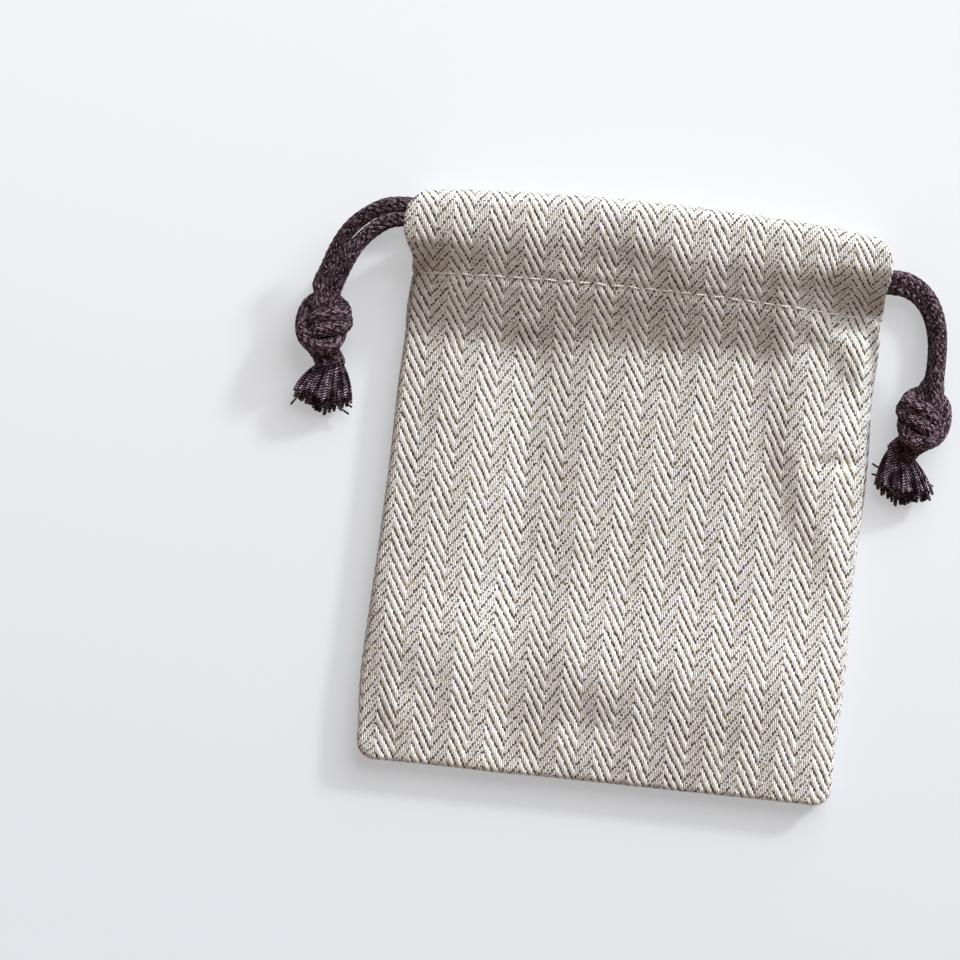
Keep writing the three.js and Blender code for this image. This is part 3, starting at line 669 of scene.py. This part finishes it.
def make_panel(name, front, column_gap, row_gap, coarse):
    """One panel as a closed sheet: a fine outer skin with raised twill ropes, and a plain inner skin."""
    half = round(WIDEST_COLUMN / column_gap)
    columns = np.arange(-half, half + 1) * column_gap
    grid, body_rows, hidden = panel_rows(front, columns, row_gap)
    row_count, column_count = grid.shape[:2]
    all_rows, all_columns = list(range(row_count)), list(range(column_count))
    path = edge_path(all_rows, all_columns)
    rings, ring_normals, travel, plan, normals = turned_edges(grid, path, body_rows, front)
    steps = np.linalg.norm(np.diff(grid[:, :, 1:], axis=0), axis=2)
    v = np.concatenate([np.zeros((1, column_count)), np.cumsum(steps, axis=0)])
    middle = body_rows // 2
    v += grid[middle, :, 1] - v[middle]
    limits = np.searchsorted(columns, (-ROWS_LEVEL_FROM, ROWS_LEVEL_FROM))
    inner_columns = np.clip(np.arange(column_count), *limits)
    v = v[:, inner_columns]
    u = grid[:, :, 0]
    edge_uv = np.stack([u[path[:, 0], path[:, 1]], v[path[:, 0], path[:, 1]]], axis=1)
    ring_uv = edge_uv[None] + plan[None] * travel[:, :, None]
    points = np.concatenate([grid.reshape(-1, 3), rings.reshape(-1, 3)])
    uv = np.concatenate([np.stack([u, v], axis=2).reshape(-1, 2), ring_uv.reshape(-1, 2)])
    uv = np.stack(woven(uv[:, 0], uv[:, 1]), axis=1)
    out = np.concatenate([normals.reshape(-1, 3), ring_normals.reshape(-1, 3)])
    shown_rows = 1 - smooth((np.arange(row_count) - hidden) / 4)
    shown = np.concatenate([
        np.repeat(shown_rows, column_count),
        np.concatenate([shown_rows[path[:, 0]] * (k < WOVEN_RINGS) for k in range(len(rings))]),
    ])
    relief = ROPE_RELIEF * (rope_height(uv[:, 0], uv[:, 1]) - (0.45 if front else 0)) * shown
    outer = points + out * (relief if front else -0.5 * relief)[:, None]
    grid_size = row_count * column_count

    def at(r, c):
        return int(r * column_count + c)

    def ring_at(k, b):
        return int(grid_size + k * len(path) + b)

    faces = shell_faces(all_rows, all_columns, path, at, ring_at, len(rings))
    rows = sorted({*range(0, row_count, coarse), row_count - 1, body_rows})
    some_columns = sorted({*range(0, column_count, coarse), column_count - 1})
    coarse_path = edge_path(rows, some_columns)
    place = {(r, c): b for b, (r, c) in enumerate(map(tuple, path))}
    positions = [place[(r, c)] for r, c in map(tuple, coarse_path)]
    inner_ids = {}
    inner_points, inner_uv = [], []

    def inner(index):
        if index not in inner_ids:
            inner_ids[index] = len(points) + len(inner_points)
            inner_points.append(points[index] - out[index] * SHEET)
            inner_uv.append(uv[index])
        return inner_ids[index]

    inner_faces = shell_faces(
        rows, some_columns, coarse_path,
        lambda r, c: inner(at(r, c)),
        lambda k, b: inner(ring_at(k, positions[b])),
        len(rings),
    )
    last = len(rings) - 1
    fine_rim = [ring_at(last, b) for b in range(len(path))]
    rim = rim_faces(fine_rim, [inner(fine_rim[b]) for b in positions], positions)
    top = row_count - 1
    left_rim = [ring_at(k, 0) for k in range(last, -1, -1)]
    right_rim = [ring_at(k, len(path) - 1) for k in range(last + 1)]
    fine_top = [*left_rim, *[at(top, c) for c in all_columns], *right_rim]
    top_positions = [
        *range(len(left_rim)),
        *[len(left_rim) + c for c in some_columns],
        *[len(left_rim) + column_count + k for k in range(len(right_rim))],
    ]
    rim += rim_faces(fine_top, [inner(fine_top[i]) for i in top_positions], top_positions)
    panel = new_object(
        name,
        np.concatenate([outer, np.array(inner_points)]),
        [*faces, *inner_faces, *rim],
        np.concatenate([uv, np.array(inner_uv)]),
    )
    face_outwards(panel, mixed=True)
    return panel


# Cords


def carried_frames(line):
    """Two directions square to the line at each point, carried along it without twisting."""
    tangents = unit(np.gradient(line, axis=0))
    sides = [unit(np.cross(tangents[0], [0, 0, 1]))]
    for t in tangents[1:]:
        sides.append(unit(sides[-1] - t * np.dot(sides[-1], t)))
    sides = np.array(sides)
    return sides, np.cross(tangents, sides)


def braid_height(around, along):
    """Strands of a round braid that pass over and under each other, from 0 to 1."""
    a = BRAID_STRANDS * around + along / BRAID_STEP
    b = -BRAID_STRANDS * around + along / BRAID_STEP
    over_a = 0.5 + 0.5 * np.sin(np.pi * (b + np.floor(a)))
    over_b = 0.5 + 0.5 * np.sin(np.pi * (a + np.floor(b) + 1))
    ridge_a = np.sqrt(np.sin(np.pi * np.mod(a, 1))) * over_a
    ridge_b = np.sqrt(np.sin(np.pi * np.mod(b, 1))) * over_b
    return np.maximum(ridge_a, ridge_b)


def tube(line, sides, radius_at, start=0.0):
    """A closed tube along a line. Its UV runs once round in u, and in metres along it in v."""
    across, up = carried_frames(line)
    along = start + travelled(line)
    around = np.arange(sides) / sides
    s, t = np.meshgrid(along, around, indexing="ij")
    radius = radius_at(t, s)
    angle = 2 * np.pi * around
    ring = across[:, None] * np.cos(angle)[None, :, None] + up[:, None] * np.sin(angle)[None, :, None]
    points = (line[:, None] + ring * radius[:, :, None]).reshape(-1, 3)
    count = len(line)
    faces, corner_u = [], []
    for i in range(count - 1):
        for j in range(sides):
            k = (j + 1) % sides
            faces.append((i * sides + j, i * sides + k, (i + 1) * sides + k, (i + 1) * sides + j))
            corner_u.append((j / sides, (j + 1) / sides, (j + 1) / sides, j / sides))
    first = len(points)
    points = np.vstack([points, line[0], line[-1]])
    for j in range(sides):
        k = (j + 1) % sides
        faces.append((k, j, first))
        faces.append(((count - 1) * sides + j, (count - 1) * sides + k, first + 1))
        corner_u.append(((j + 1) / sides, j / sides, (j + 0.5) / sides))
        corner_u.append((j / sides, (j + 1) / sides, (j + 0.5) / sides))
    lengths = np.concatenate([np.repeat(along, sides), [along[0], along[-1]]])
    return points, faces, corner_u, lengths


def tube_object(name, parts):
    """One object from one or more tubes."""
    points, faces, us, vs = [], [], [], []
    offset = 0
    for part_points, part_faces, part_u, lengths in parts:
        points.append(part_points)
        for face, u in zip(part_faces, part_u):
            faces.append(tuple(i + offset for i in face))
            us.extend(u)
            vs.extend(lengths[i] for i in face)
        offset += len(part_points)
    obj = new_object(name, np.vstack(points), faces)
    layer = obj.data.uv_layers.new(name="cord")
    layer.data.foreach_set("uv", np.stack([us, vs], axis=1).astype(np.float32).ravel())
    face_outwards(obj)
    return obj


def braided_radius(around, along):
    return CORD / 2 - BRAID_RELIEF + 1.5 * BRAID_RELIEF * braid_height(around, along)


def cord_piece(name, line, start=0.0):
    return tube_object(name, [tube(line, BRAID_SIDES, braided_radius, start)])


def channel_line(pull):
    """The way of a cord's fixed part: along the front casing, round the far end and back."""
    side = pull["side"]
    start = side * (EXIT - CHANNEL_OVERLAP - JOINT_GAP)
    turn_x = -side * (EXIT - TURN_INSET)
    front = np.array([turn_x, pull["front_y"], pull["front_z"]])
    back = np.array([turn_x, pull["back_y"], BACK_CORD_Z])
    middle = (front + back) / 2
    arm = front - middle
    outward = np.array([-side * np.linalg.norm(arm), 0, 0])
    turn = [middle + arm * math.cos(a) + outward * math.sin(a) for a in np.linspace(0, math.pi, 25)]
    first = (start, pull["front_y"], pull["front_z"])
    last = (start, pull["back_y"], BACK_CORD_Z)
    return respaced(np.array([first, *turn, last]), RING_GAP)


def split_strand(pull, hand):
    """A strand's line inside the casing, and its line from the casing's end to the end of its knot."""
    line = curve_through(strand_points(pull, hand), RING_GAP)
    cut = int(np.argmax(np.abs(line[:, 0]) >= JOIN_X))
    return line[: cut + 1], line[cut:]


def yarn_radius(around, along):
    """A two-ply yarn's outline: two round strands twisted together."""
    return YARN_RADIUS * (1 + 0.16 * np.cos(4 * np.pi * (around - along / YARN_TWIST)))


def tassel_piece(name, pull, seed):
    """The frayed ends below a knot: both strands' yarns, spread and cut blunt, with the cut turned up."""
    rng = random.Random(seed)
    place = knot_place(pull)
    u0, v0, w0 = knot_route(pull["entry"])[-1][:3]
    parts = []
    for i in range(TASSEL_YARNS):
        angle = i * GOLDEN_ANGLE + rng.uniform(-0.2, 0.2)
        reach = math.sqrt((i + 0.5) / TASSEL_YARNS)
        short = 0.12 * reach**2 * abs(math.cos(angle)) + 0.14 * reach * max(0, math.cos(angle))
        short += 0.34 * (0.5 + 0.5 * reach * math.sin(angle))
        length = TASSEL_LENGTH * (1.1 - short) + rng.uniform(-0.5, 0.4) * MM
        bend = rng.uniform(-0.9, 0.9) * MM
        lift = rng.uniform(-0.4, 0.6) * MM
        points = []
        for t in np.linspace(-0.12, 1, 9):
            opened = max(0, t) ** 0.8
            width = mix(2.6 * MM, 6.1 * MM, opened)
            height = mix(1.4 * MM, 2.6 * MM, opened)
            u = u0 + pull["drift"] * t + width * reach * math.cos(angle) + bend * math.sin(2.6 * t)
            v = v0 + length * t
            w = mix(w0, w0 - 1 * MM, max(0, t)) + height * reach * math.sin(angle) + lift * math.sin(2 * t)
            w += 2 * MM * max(0, t) ** 3
            p = place(u, v, w)
            p[2] = max(p[2], YARN_RADIUS * 1.3 + 0.25 * MM)
            points.append(p)
        line = curve_through(points, YARN_STEP)
        parts.append(tube(line, YARN_SIDES, yarn_radius, rng.uniform(0, 9) * MM))
    for points in pull["strays"]:
        line = curve_through(np.array(points) * MM, YARN_STEP)
        parts.append(tube(line, YARN_SIDES, lambda around, along: 0.7 * yarn_radius(around, along)))
    return tube_object(name, parts)


# Stitches


def surface_height(obj, x, y, from_above):
    """Where a straight drop onto the panel at (x, y) first meets it, and the surface's direction there."""
    z = 0.05 if from_above else -0.05
    hit, place, normal, _ = obj.ray_cast(Vector((x, y, z)), Vector((0, 0, -1 if from_above else 1)))
    return (np.array(place), np.array(normal)) if hit else (None, None)


def stitch_row(name, panel, from_above, seed):
    """A row of lockstitches: short arcs of thread that dip into the cloth at both ends."""
    rng = random.Random(seed)
    parts = []
    count = int(2 * (WAIST_HALF_WIDTH - 3 * MM) / STITCH_PITCH)
    first = -count * STITCH_PITCH / 2
    up = 1 if from_above else -1
    for i in range(count):
        x0 = first + i * STITCH_PITCH + rng.uniform(-0.12, 0.12) * MM
        x1 = x0 + STITCH_PITCH * STITCH_SHOWN
        sway = rng.uniform(-0.2, 0.2) * MM
        places = []
        share = np.linspace(0, 1, STITCH_POINTS)
        for t in share:
            x = mix(x0, x1, t)
            y = stitch_y(x) + sway * (2 * t - 1)
            places.append(surface_height(panel, x, y, from_above)[0])
        places = np.array(places)
        level = np.polyval(np.polyfit(share, places[:, 2], 1), share)
        proud = 0.7 * (up * (places[:, 2] - level)).max()
        places[:, 2] = level + up * (proud + THREAD * (1.7 * np.sin(np.pi * share) ** 0.5 - 1.25))
        parts.append(tube(places, THREAD_SIDES, lambda around, along: np.full_like(around, THREAD / 2)))
    if from_above:
        tail = []
        for x, y in THREAD_TAIL:
            place, normal = surface_height(panel, x * MM, y * MM, True)
            tail.append(place + normal * THREAD * 0.6)
        line = curve_through(tail, 0.4 * MM)
        parts.append(tube(line, 6, lambda around, along: np.full_like(around, THREAD * 0.4)))
    return tube_object(name, parts)


# Materials


class Finish:
    """A material whose colour and bump are worked out from numbers on the surface."""

    def __init__(self, name, roughness, shine=0.25):
        self.material = bpy.data.materials.new(name)
        self.material.use_nodes = True
        self.tree = self.material.node_tree
        self.shader = self.tree.nodes["Principled BSDF"]
        self.shader.inputs["Roughness"].default_value = roughness
        self.shader.inputs["Specular IOR Level"].default_value = shine

    def node(self, kind):
        return self.tree.nodes.new("ShaderNode" + kind)

    def link(self, value, socket):
        if isinstance(value, bpy.types.NodeSocket):
            self.tree.links.new(value, socket)
        else:
            socket.default_value = value

    def math(self, operation, *values):
        node = self.node("Math")
        node.operation = operation
        for value, socket in zip(values, node.inputs):
            self.link(value, socket)
        return node.outputs[0]

    def add(self, a, b):
        return self.math("ADD", a, b)

    def minus(self, a, b):
        return self.math("SUBTRACT", a, b)

    def times(self, a, b):
        return self.math("MULTIPLY", a, b)

    def over(self, a, b):
        return self.math("DIVIDE", a, b)

    def floor(self, a):
        return self.math("FLOOR", a)

    def fract(self, a):
        return self.math("FRACT", a)

    def half_waves(self, a):
        """The sine of a, with a hill or a hollow for each whole number."""
        return self.math("SINE", self.times(a, math.pi))

    def between(self, value, low, high, to_low=0.0, to_high=1.0):
        """Turns a value from low to high into another range, smoothly and within its ends."""
        node = self.node("MapRange")
        node.interpolation_type = "SMOOTHSTEP"
        for item, socket in zip((value, low, high, to_low, to_high), node.inputs):
            self.link(item, socket)
        return node.outputs[0]

    def colour(self, share, first, second):
        node = self.node("Mix")
        node.data_type = "RGBA"
        self.link(share, node.inputs["Factor"])
        self.link(first, node.inputs["A"])
        self.link(second, node.inputs["B"])
        return node.outputs["Result"]

    def surface_map(self, layer):
        """The two measures of a piece's UV map."""
        node = self.node("UVMap")
        node.uv_map = layer
        parts = self.node("SeparateXYZ")
        self.link(node.outputs[0], parts.inputs[0])
        return parts.outputs[0], parts.outputs[1]

    def vector(self, x, y, z=0.0):
        node = self.node("CombineXYZ")
        for value, socket in zip((x, y, z), node.inputs):
            self.link(value, socket)
        return node.outputs[0]

    def chance(self, x, y, z=0.0):
        """A number from 0 to 1 that is the same for the same place in the pattern."""
        node = self.node("TexWhiteNoise")
        self.link(self.vector(x, y, z), node.inputs["Vector"])
        return node.outputs["Value"]

    def noise(self, vector, scale, detail=2.0):
        node = self.node("TexNoise")
        self.link(vector, node.inputs["Vector"])
        node.inputs["Scale"].default_value = scale
        node.inputs["Detail"].default_value = detail
        return node.outputs["Fac"]

    def place(self):
        return self.node("TexCoord").outputs["Object"]

    def bump(self, height, depth):
        node = self.node("Bump")
        node.inputs["Distance"].default_value = depth
        self.link(height, node.inputs["Height"])
        self.link(node.outputs[0], self.shader.inputs["Normal"])

    def fuzz(self, weight, roughness, tint):
        self.shader.inputs["Sheen Weight"].default_value = weight
        self.shader.inputs["Sheen Roughness"].default_value = roughness
        self.shader.inputs["Sheen Tint"].default_value = tint

    def paint(self, colour):
        self.link(colour, self.shader.inputs["Base Color"])


def weft_gap(f, step, yarn_number, edge, size, slant, wobble, seed):
    """How far a point is from the weft that shows between two floats of a yarn, 1 at the weft's edge."""
    number = f.floor(step)
    along = f.minus(f.fract(step), 0.5)
    shift = f.times(f.minus(f.chance(yarn_number, number, seed), 0.5), wobble)
    slanted = f.add(f.add(along, shift), f.times(edge, slant))
    varied = f.times(size, f.between(f.chance(yarn_number, number, seed + 1), 0.0, 1.0, 0.65, 1.35))
    reach = f.over(slanted, varied)
    spot = f.math("SQRT", f.add(f.times(reach, reach), f.times(f.times(edge, edge), 0.5)))
    return spot, slanted, number


def herringbone_cloth():
    """Cream warp yarns over a dark khaki weft, in wales that lean one way and then the other."""
    f = Finish("herringbone_cloth", 0.88)
    u, v = f.surface_map("cloth")
    yarn = f.over(u, YARN)
    yarn_number = f.floor(yarn)
    across = f.fract(yarn)
    centre = f.times(f.add(yarn_number, 0.5), YARN)
    wale_number = f.over(f.minus(centre, BOLD_START), WALE_PERIOD)
    wale = f.times(f.fract(wale_number), WALE_PERIOD)
    bold = f.math("LESS_THAN", wale, BOLD_WALE)
    fine = f.minus(1.0, bold)
    falling = f.times(wale, -BOLD_SLOPE)
    turn = -BOLD_SLOPE * BOLD_WALE - TURN_DROP
    rising = f.add(f.times(f.minus(wale, BOLD_WALE), FINE_SLOPE), turn)

    def by_wale(in_bold, in_fine):
        return f.add(f.times(bold, in_bold), f.times(fine, in_fine))

    drop = by_wale(falling, rising)
    step = f.over(f.minus(v, drop), ROPE_PITCH)
    edge = f.times(f.minus(across, 0.5), 2.0)
    size = by_wale(BOLD_GAP, FINE_GAP)
    slant = by_wale(BOLD_SLANT, FINE_SLANT)
    wobble = by_wale(BOLD_WOBBLE, FINE_WOBBLE)
    spot, slanted, float_number = weft_gap(f, step, yarn_number, edge, size, slant, wobble, 5.0)
    rare = f.times(fine, f.between(f.chance(yarn_number, float_number, 9.0), 0.6, 1.0, 0.01, 0.06))
    second, _, _ = weft_gap(f, f.add(step, 0.5), yarn_number, edge, f.add(rare, 0.001), slant, wobble, 7.0)
    spot = f.math("MINIMUM", spot, second)
    over = f.between(spot, 0.75, 1.3)
    rope = f.math("ABSOLUTE", f.math("COSINE", f.times(step, math.pi)))
    round_yarn = f.math("SQRT", f.math("MAXIMUM", f.minus(1.0, f.times(edge, edge)), 0.0))
    fibre = f.noise(f.vector(f.times(u, 9000.0), f.times(v, 1800.0)), 1.0, 3.0)
    broken = f.noise(f.vector(f.times(u, 2400.0), f.times(v, 1500.0)), 1.0, 2.0)
    mottle = f.noise(f.vector(u, v), 160.0)
    jitter = f.chance(yarn_number, float_number)
    cream = f.colour(jitter, CREAM_LIGHT, CREAM_DARK)
    cream = f.colour(f.between(fibre, 0.35, 0.75, 0.0, 0.25), cream, CREAM_SHADE)
    # Painted shade: the grooves between neighbouring yarns, and in the bold wales the twill's grooves, are
    # darkened towards the weft's grey.
    groove_shade = f.times(f.between(round_yarn, 0.25, 0.8, 1.0, 0.0), f.between(broken, 0.4, 0.6))
    groove_shade_strength = by_wale(f.between(rope, 0.5, 0.95, 0.75, 0.3), 0.7)
    cream = f.colour(f.times(groove_shade, groove_shade_strength), cream, WEFT_GREY_AND_GROOVE_SHADE)
    # Painted shade: each float is darkened towards its ends, where it dips under the weft.
    cream = f.colour(f.between(spot, 1.1, 2.4, 0.35, 0.0), cream, CREAM_SHADE)
    weft_tint = f.chance(float_number, yarn_number, 3.0)
    weft = f.colour(f.between(weft_tint, 0.55, 1.0), WEFT_DARK, WEFT_GOLD)
    weft = f.colour(f.between(mottle, 0.35, 0.75), weft, WEFT_GREY_AND_GROOVE_SHADE)
    f.paint(f.colour(over, weft, cream))
    yarn_height = f.times(over, f.add(0.4, f.times(round_yarn, f.add(0.8, f.times(bold, -0.2)))))
    fall = f.between(slanted, -FINE_GAP, FINE_GAP, 0.5, -0.5)
    ramp = f.times(f.add(slanted, fall), FINE_RAMP)
    twill_height = by_wale(f.times(rope, 1.3), ramp)
    height = f.add(f.add(yarn_height, twill_height), f.times(fibre, 0.15))
    f.bump(height, 0.3 * MM)
    f.fuzz(0.12, 0.5, CREAM_FUZZ)
    return f.material


def brown_cord():
    """Dark brown cotton, with painted mauve highlights along the crests of its yarns and painted shade
    between its yarns and strands.
    """
    f = Finish("brown_cord", 0.82, 0.12)
    around, length = f.surface_map("cord")
    a = f.add(f.times(around, float(BRAID_STRANDS)), f.over(length, BRAID_STEP))
    b = f.add(f.times(around, -float(BRAID_STRANDS)), f.over(length, BRAID_STEP))
    over_a = f.half_waves(f.add(b, f.floor(a)))
    over_b = f.half_waves(f.add(a, f.add(f.floor(b), 1.0)))
    ridge_a = f.times(f.half_waves(f.fract(a)), f.between(over_a, -0.6, 0.6))
    ridge_b = f.times(f.half_waves(f.fract(b)), f.between(over_b, -0.6, 0.6))
    ridge = f.math("MAXIMUM", ridge_a, ridge_b)
    a_on_top = f.math("GREATER_THAN", ridge_a, ridge_b)
    top = f.add(b, f.times(a_on_top, f.minus(a, b)))
    under = f.add(a, f.times(a_on_top, f.minus(b, a)))
    yarn = f.times(top, STRAND_YARNS)
    ply = f.half_waves(f.fract(yarn))
    bright = f.chance(f.floor(yarn), f.floor(f.times(under, 1.5)), a_on_top)
    fibre = f.noise(f.place(), 5200.0, 3.0)
    highlight_breaks = f.noise(f.place(), 700.0)
    base = f.colour(f.between(fibre, 0.3, 0.7), BROWN_DARK, BROWN)
    # Painted shade between the yarns of each strand.
    base = f.colour(f.between(ply, 0.8, 0.2, 0.0, 0.9), base, BROWN_PAINTED_SHADE)
    # Painted highlight: mauve along the crests of the yarns, on some yarn segments only.
    shine = f.times(f.between(ply, 0.8, 0.98), f.between(f.add(bright, f.times(highlight_breaks, 0.6)), 0.6, 1.1))
    base = f.colour(shine, base, MAUVE_HIGHLIGHT)
    # Painted shade in the crevices between the braid's strands.
    f.paint(f.colour(f.between(ridge, 0.1, 0.6, 0.85, 0.0), base, BROWN_PAINTED_SHADE))
    f.bump(f.add(ridge, f.add(f.times(ply, 0.3), f.times(fibre, 0.2))), 0.25 * MM)
    f.fuzz(0.08, 0.4, BROWN_FUZZ)
    return f.material


def frayed_yarn():
    """The same cotton, unlaid into its yarns."""
    f = Finish("frayed_yarn", 0.85, 0.12)
    around, length = f.surface_map("cord")
    twist = f.half_waves(f.times(f.minus(around, f.times(length, 1 / YARN_TWIST)), 4.0))
    fibre = f.noise(f.place(), 4800.0, 3.0)
    highlight_patches = f.noise(f.place(), 500.0)
    base = f.colour(f.between(fibre, 0.3, 0.7), BROWN_DARK, BROWN)
    # Painted highlight: pale mauve on the crests of the plies, in patches.
    base = f.colour(f.times(f.between(highlight_patches, 0.4, 0.7), f.between(twist, 0.4, 1.0)), base, MAUVE_PALE_HIGHLIGHT)
    # Painted shade in the grooves between the plies.
    f.paint(f.colour(f.between(twist, 0.2, -1.0, 0.0, 0.6), base, BROWN_PAINTED_SHADE))
    f.bump(f.add(f.times(twist, 0.5), f.times(fibre, 0.5)), 0.12 * MM)
    f.fuzz(0.08, 0.4, BROWN_FUZZ)
    return f.material


def cream_thread():
    f = Finish("cream_thread", 0.6)
    around, length = f.surface_map("cord")
    twist = f.half_waves(f.times(f.minus(around, f.times(length, THREAD_TURNS_PER_METRE)), 2.0))
    f.paint(f.colour(f.between(twist, -1.0, 0.4, 0.6, 0.0), THREAD_LIGHT, THREAD_SHADE))
    f.bump(twist, 0.04 * MM)
    return f.material


def floor_finish():
    """A white table with a painted falloff of light: a little greyer towards the bottom of the picture, away
    from the lamps, and with pale shadows.
    """
    f = Finish("white_table", 0.9)
    parts = f.node("SeparateXYZ")
    f.link(f.place(), parts.inputs[0])
    # Painted light: the table's colour falls off along the direction the light comes from.
    height = f.add(f.times(parts.outputs[1], 0.93), f.times(parts.outputs[0], 0.17))
    paint = f.colour(f.between(height, -0.12, 0.12), FLOOR_LESS_LIT, FLOOR_MORE_LIT)
    f.paint(paint)
    glow = f.node("Emission")
    glow.inputs["Strength"].default_value = FLOOR_GLOW
    f.link(paint, glow.inputs["Color"])
    seen = f.node("LightPath").outputs["Is Camera Ray"]
    both = f.node("MixShader")
    f.link(f.times(seen, FLOOR_GLOW_SHARE), both.inputs[0])
    f.link(f.shader.outputs[0], both.inputs[1])
    f.link(glow.outputs[0], both.inputs[2])
    f.link(both.outputs[0], f.tree.nodes["Material Output"].inputs["Surface"])
    return f.material


# The pouch

FINISHES = {
    "cloth": herringbone_cloth(),
    "cord": brown_cord(),
    "frayed_cord": frayed_yarn(),
    "thread": cream_thread(),
}


def settle(obj, body, finish, slot, *nodes):
    """Gives a piece its finish and the body it moves with, and hides the CAD nodes it stands for. The slot is
    not used.
    """
    obj.data.materials.append(FINISHES[finish])
    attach(obj, body)
    if nodes:
        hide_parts(*nodes)
    return obj


for name, pull in PULLS.items():
    body = f"{name}_pull"
    tassel = tassel_piece(f"{name}_frayed_end", pull, 7)
    settle(tassel, body, "frayed_cord", "frayed_cord", f"{name}_tassel")
    channel = cord_piece(f"{name}_cord_in_casing", channel_line(pull))
    settle(channel, "pouch", "cord", "cord", f"{name}_cord_channel")
    for hand, strand in ((1, "front"), (-1, "back")):
        inside, free = split_strand(pull, hand)
        node = f"{name}_cord_{strand}_end"
        inner = cord_piece(f"{name}_{strand}_cord_inside", inside, -(len(inside) - 1) * RING_GAP)
        settle(inner, body, "cord", "cord", node)
        outer = cord_piece(f"{name}_{strand}_cord", free)
        settle(outer, body, "cord", "cord", node, f"{name}_knot")
        tuple(free[0])
        round(float(travelled(free)[-1]), 4)
        [tuple(p) for p in free]

back = make_panel("back_cloth", False, 0.76 * MM, ROPE_PITCH / 3, 2)
front = make_panel("front_cloth", True, WALE_PERIOD / 20, ROPE_PITCH / 6, 4)
settle(back, "pouch", "cloth", "cloth", "back_panel")
settle(front, "pouch", "cloth", "cloth", "front_panel")
front_stitches = settle(stitch_row("front_stitches", front, True, 3), "pouch", "thread", "cloth")
back_stitches = settle(stitch_row("back_stitches", back, False, 4), "pouch", "thread", "cloth")

# Table and light


def make_table():
    bpy.ops.mesh.primitive_plane_add(size=6)
    table = bpy.context.active_object
    table.name = "table"
    table.data.materials.append(floor_finish())


def make_light(name, came_from, strength, softness):
    data = bpy.data.lights.new(name, "SUN")
    data.energy = strength
    data.angle = softness
    data.color = DAYLIGHT
    light = added(name, data)
    light.rotation_euler = Vector(came_from).to_track_quat("Z", "Y").to_euler()


def make_sky():
    world = bpy.data.worlds.new("studio")
    world.use_nodes = True
    background = world.node_tree.nodes["Background"]
    background.inputs["Color"].default_value = SKY
    background.inputs["Strength"].default_value = SKY_STRENGTH
    bpy.context.scene.world = world


make_table()
make_light("sun", SUN_FROM, SUN_STRENGTH, SUN_SOFTNESS)
make_light("window", WINDOW_FROM, WINDOW_STRENGTH, WINDOW_SOFTNESS)
make_sky()
bpy.context.scene.view_settings.view_transform = "Standard"
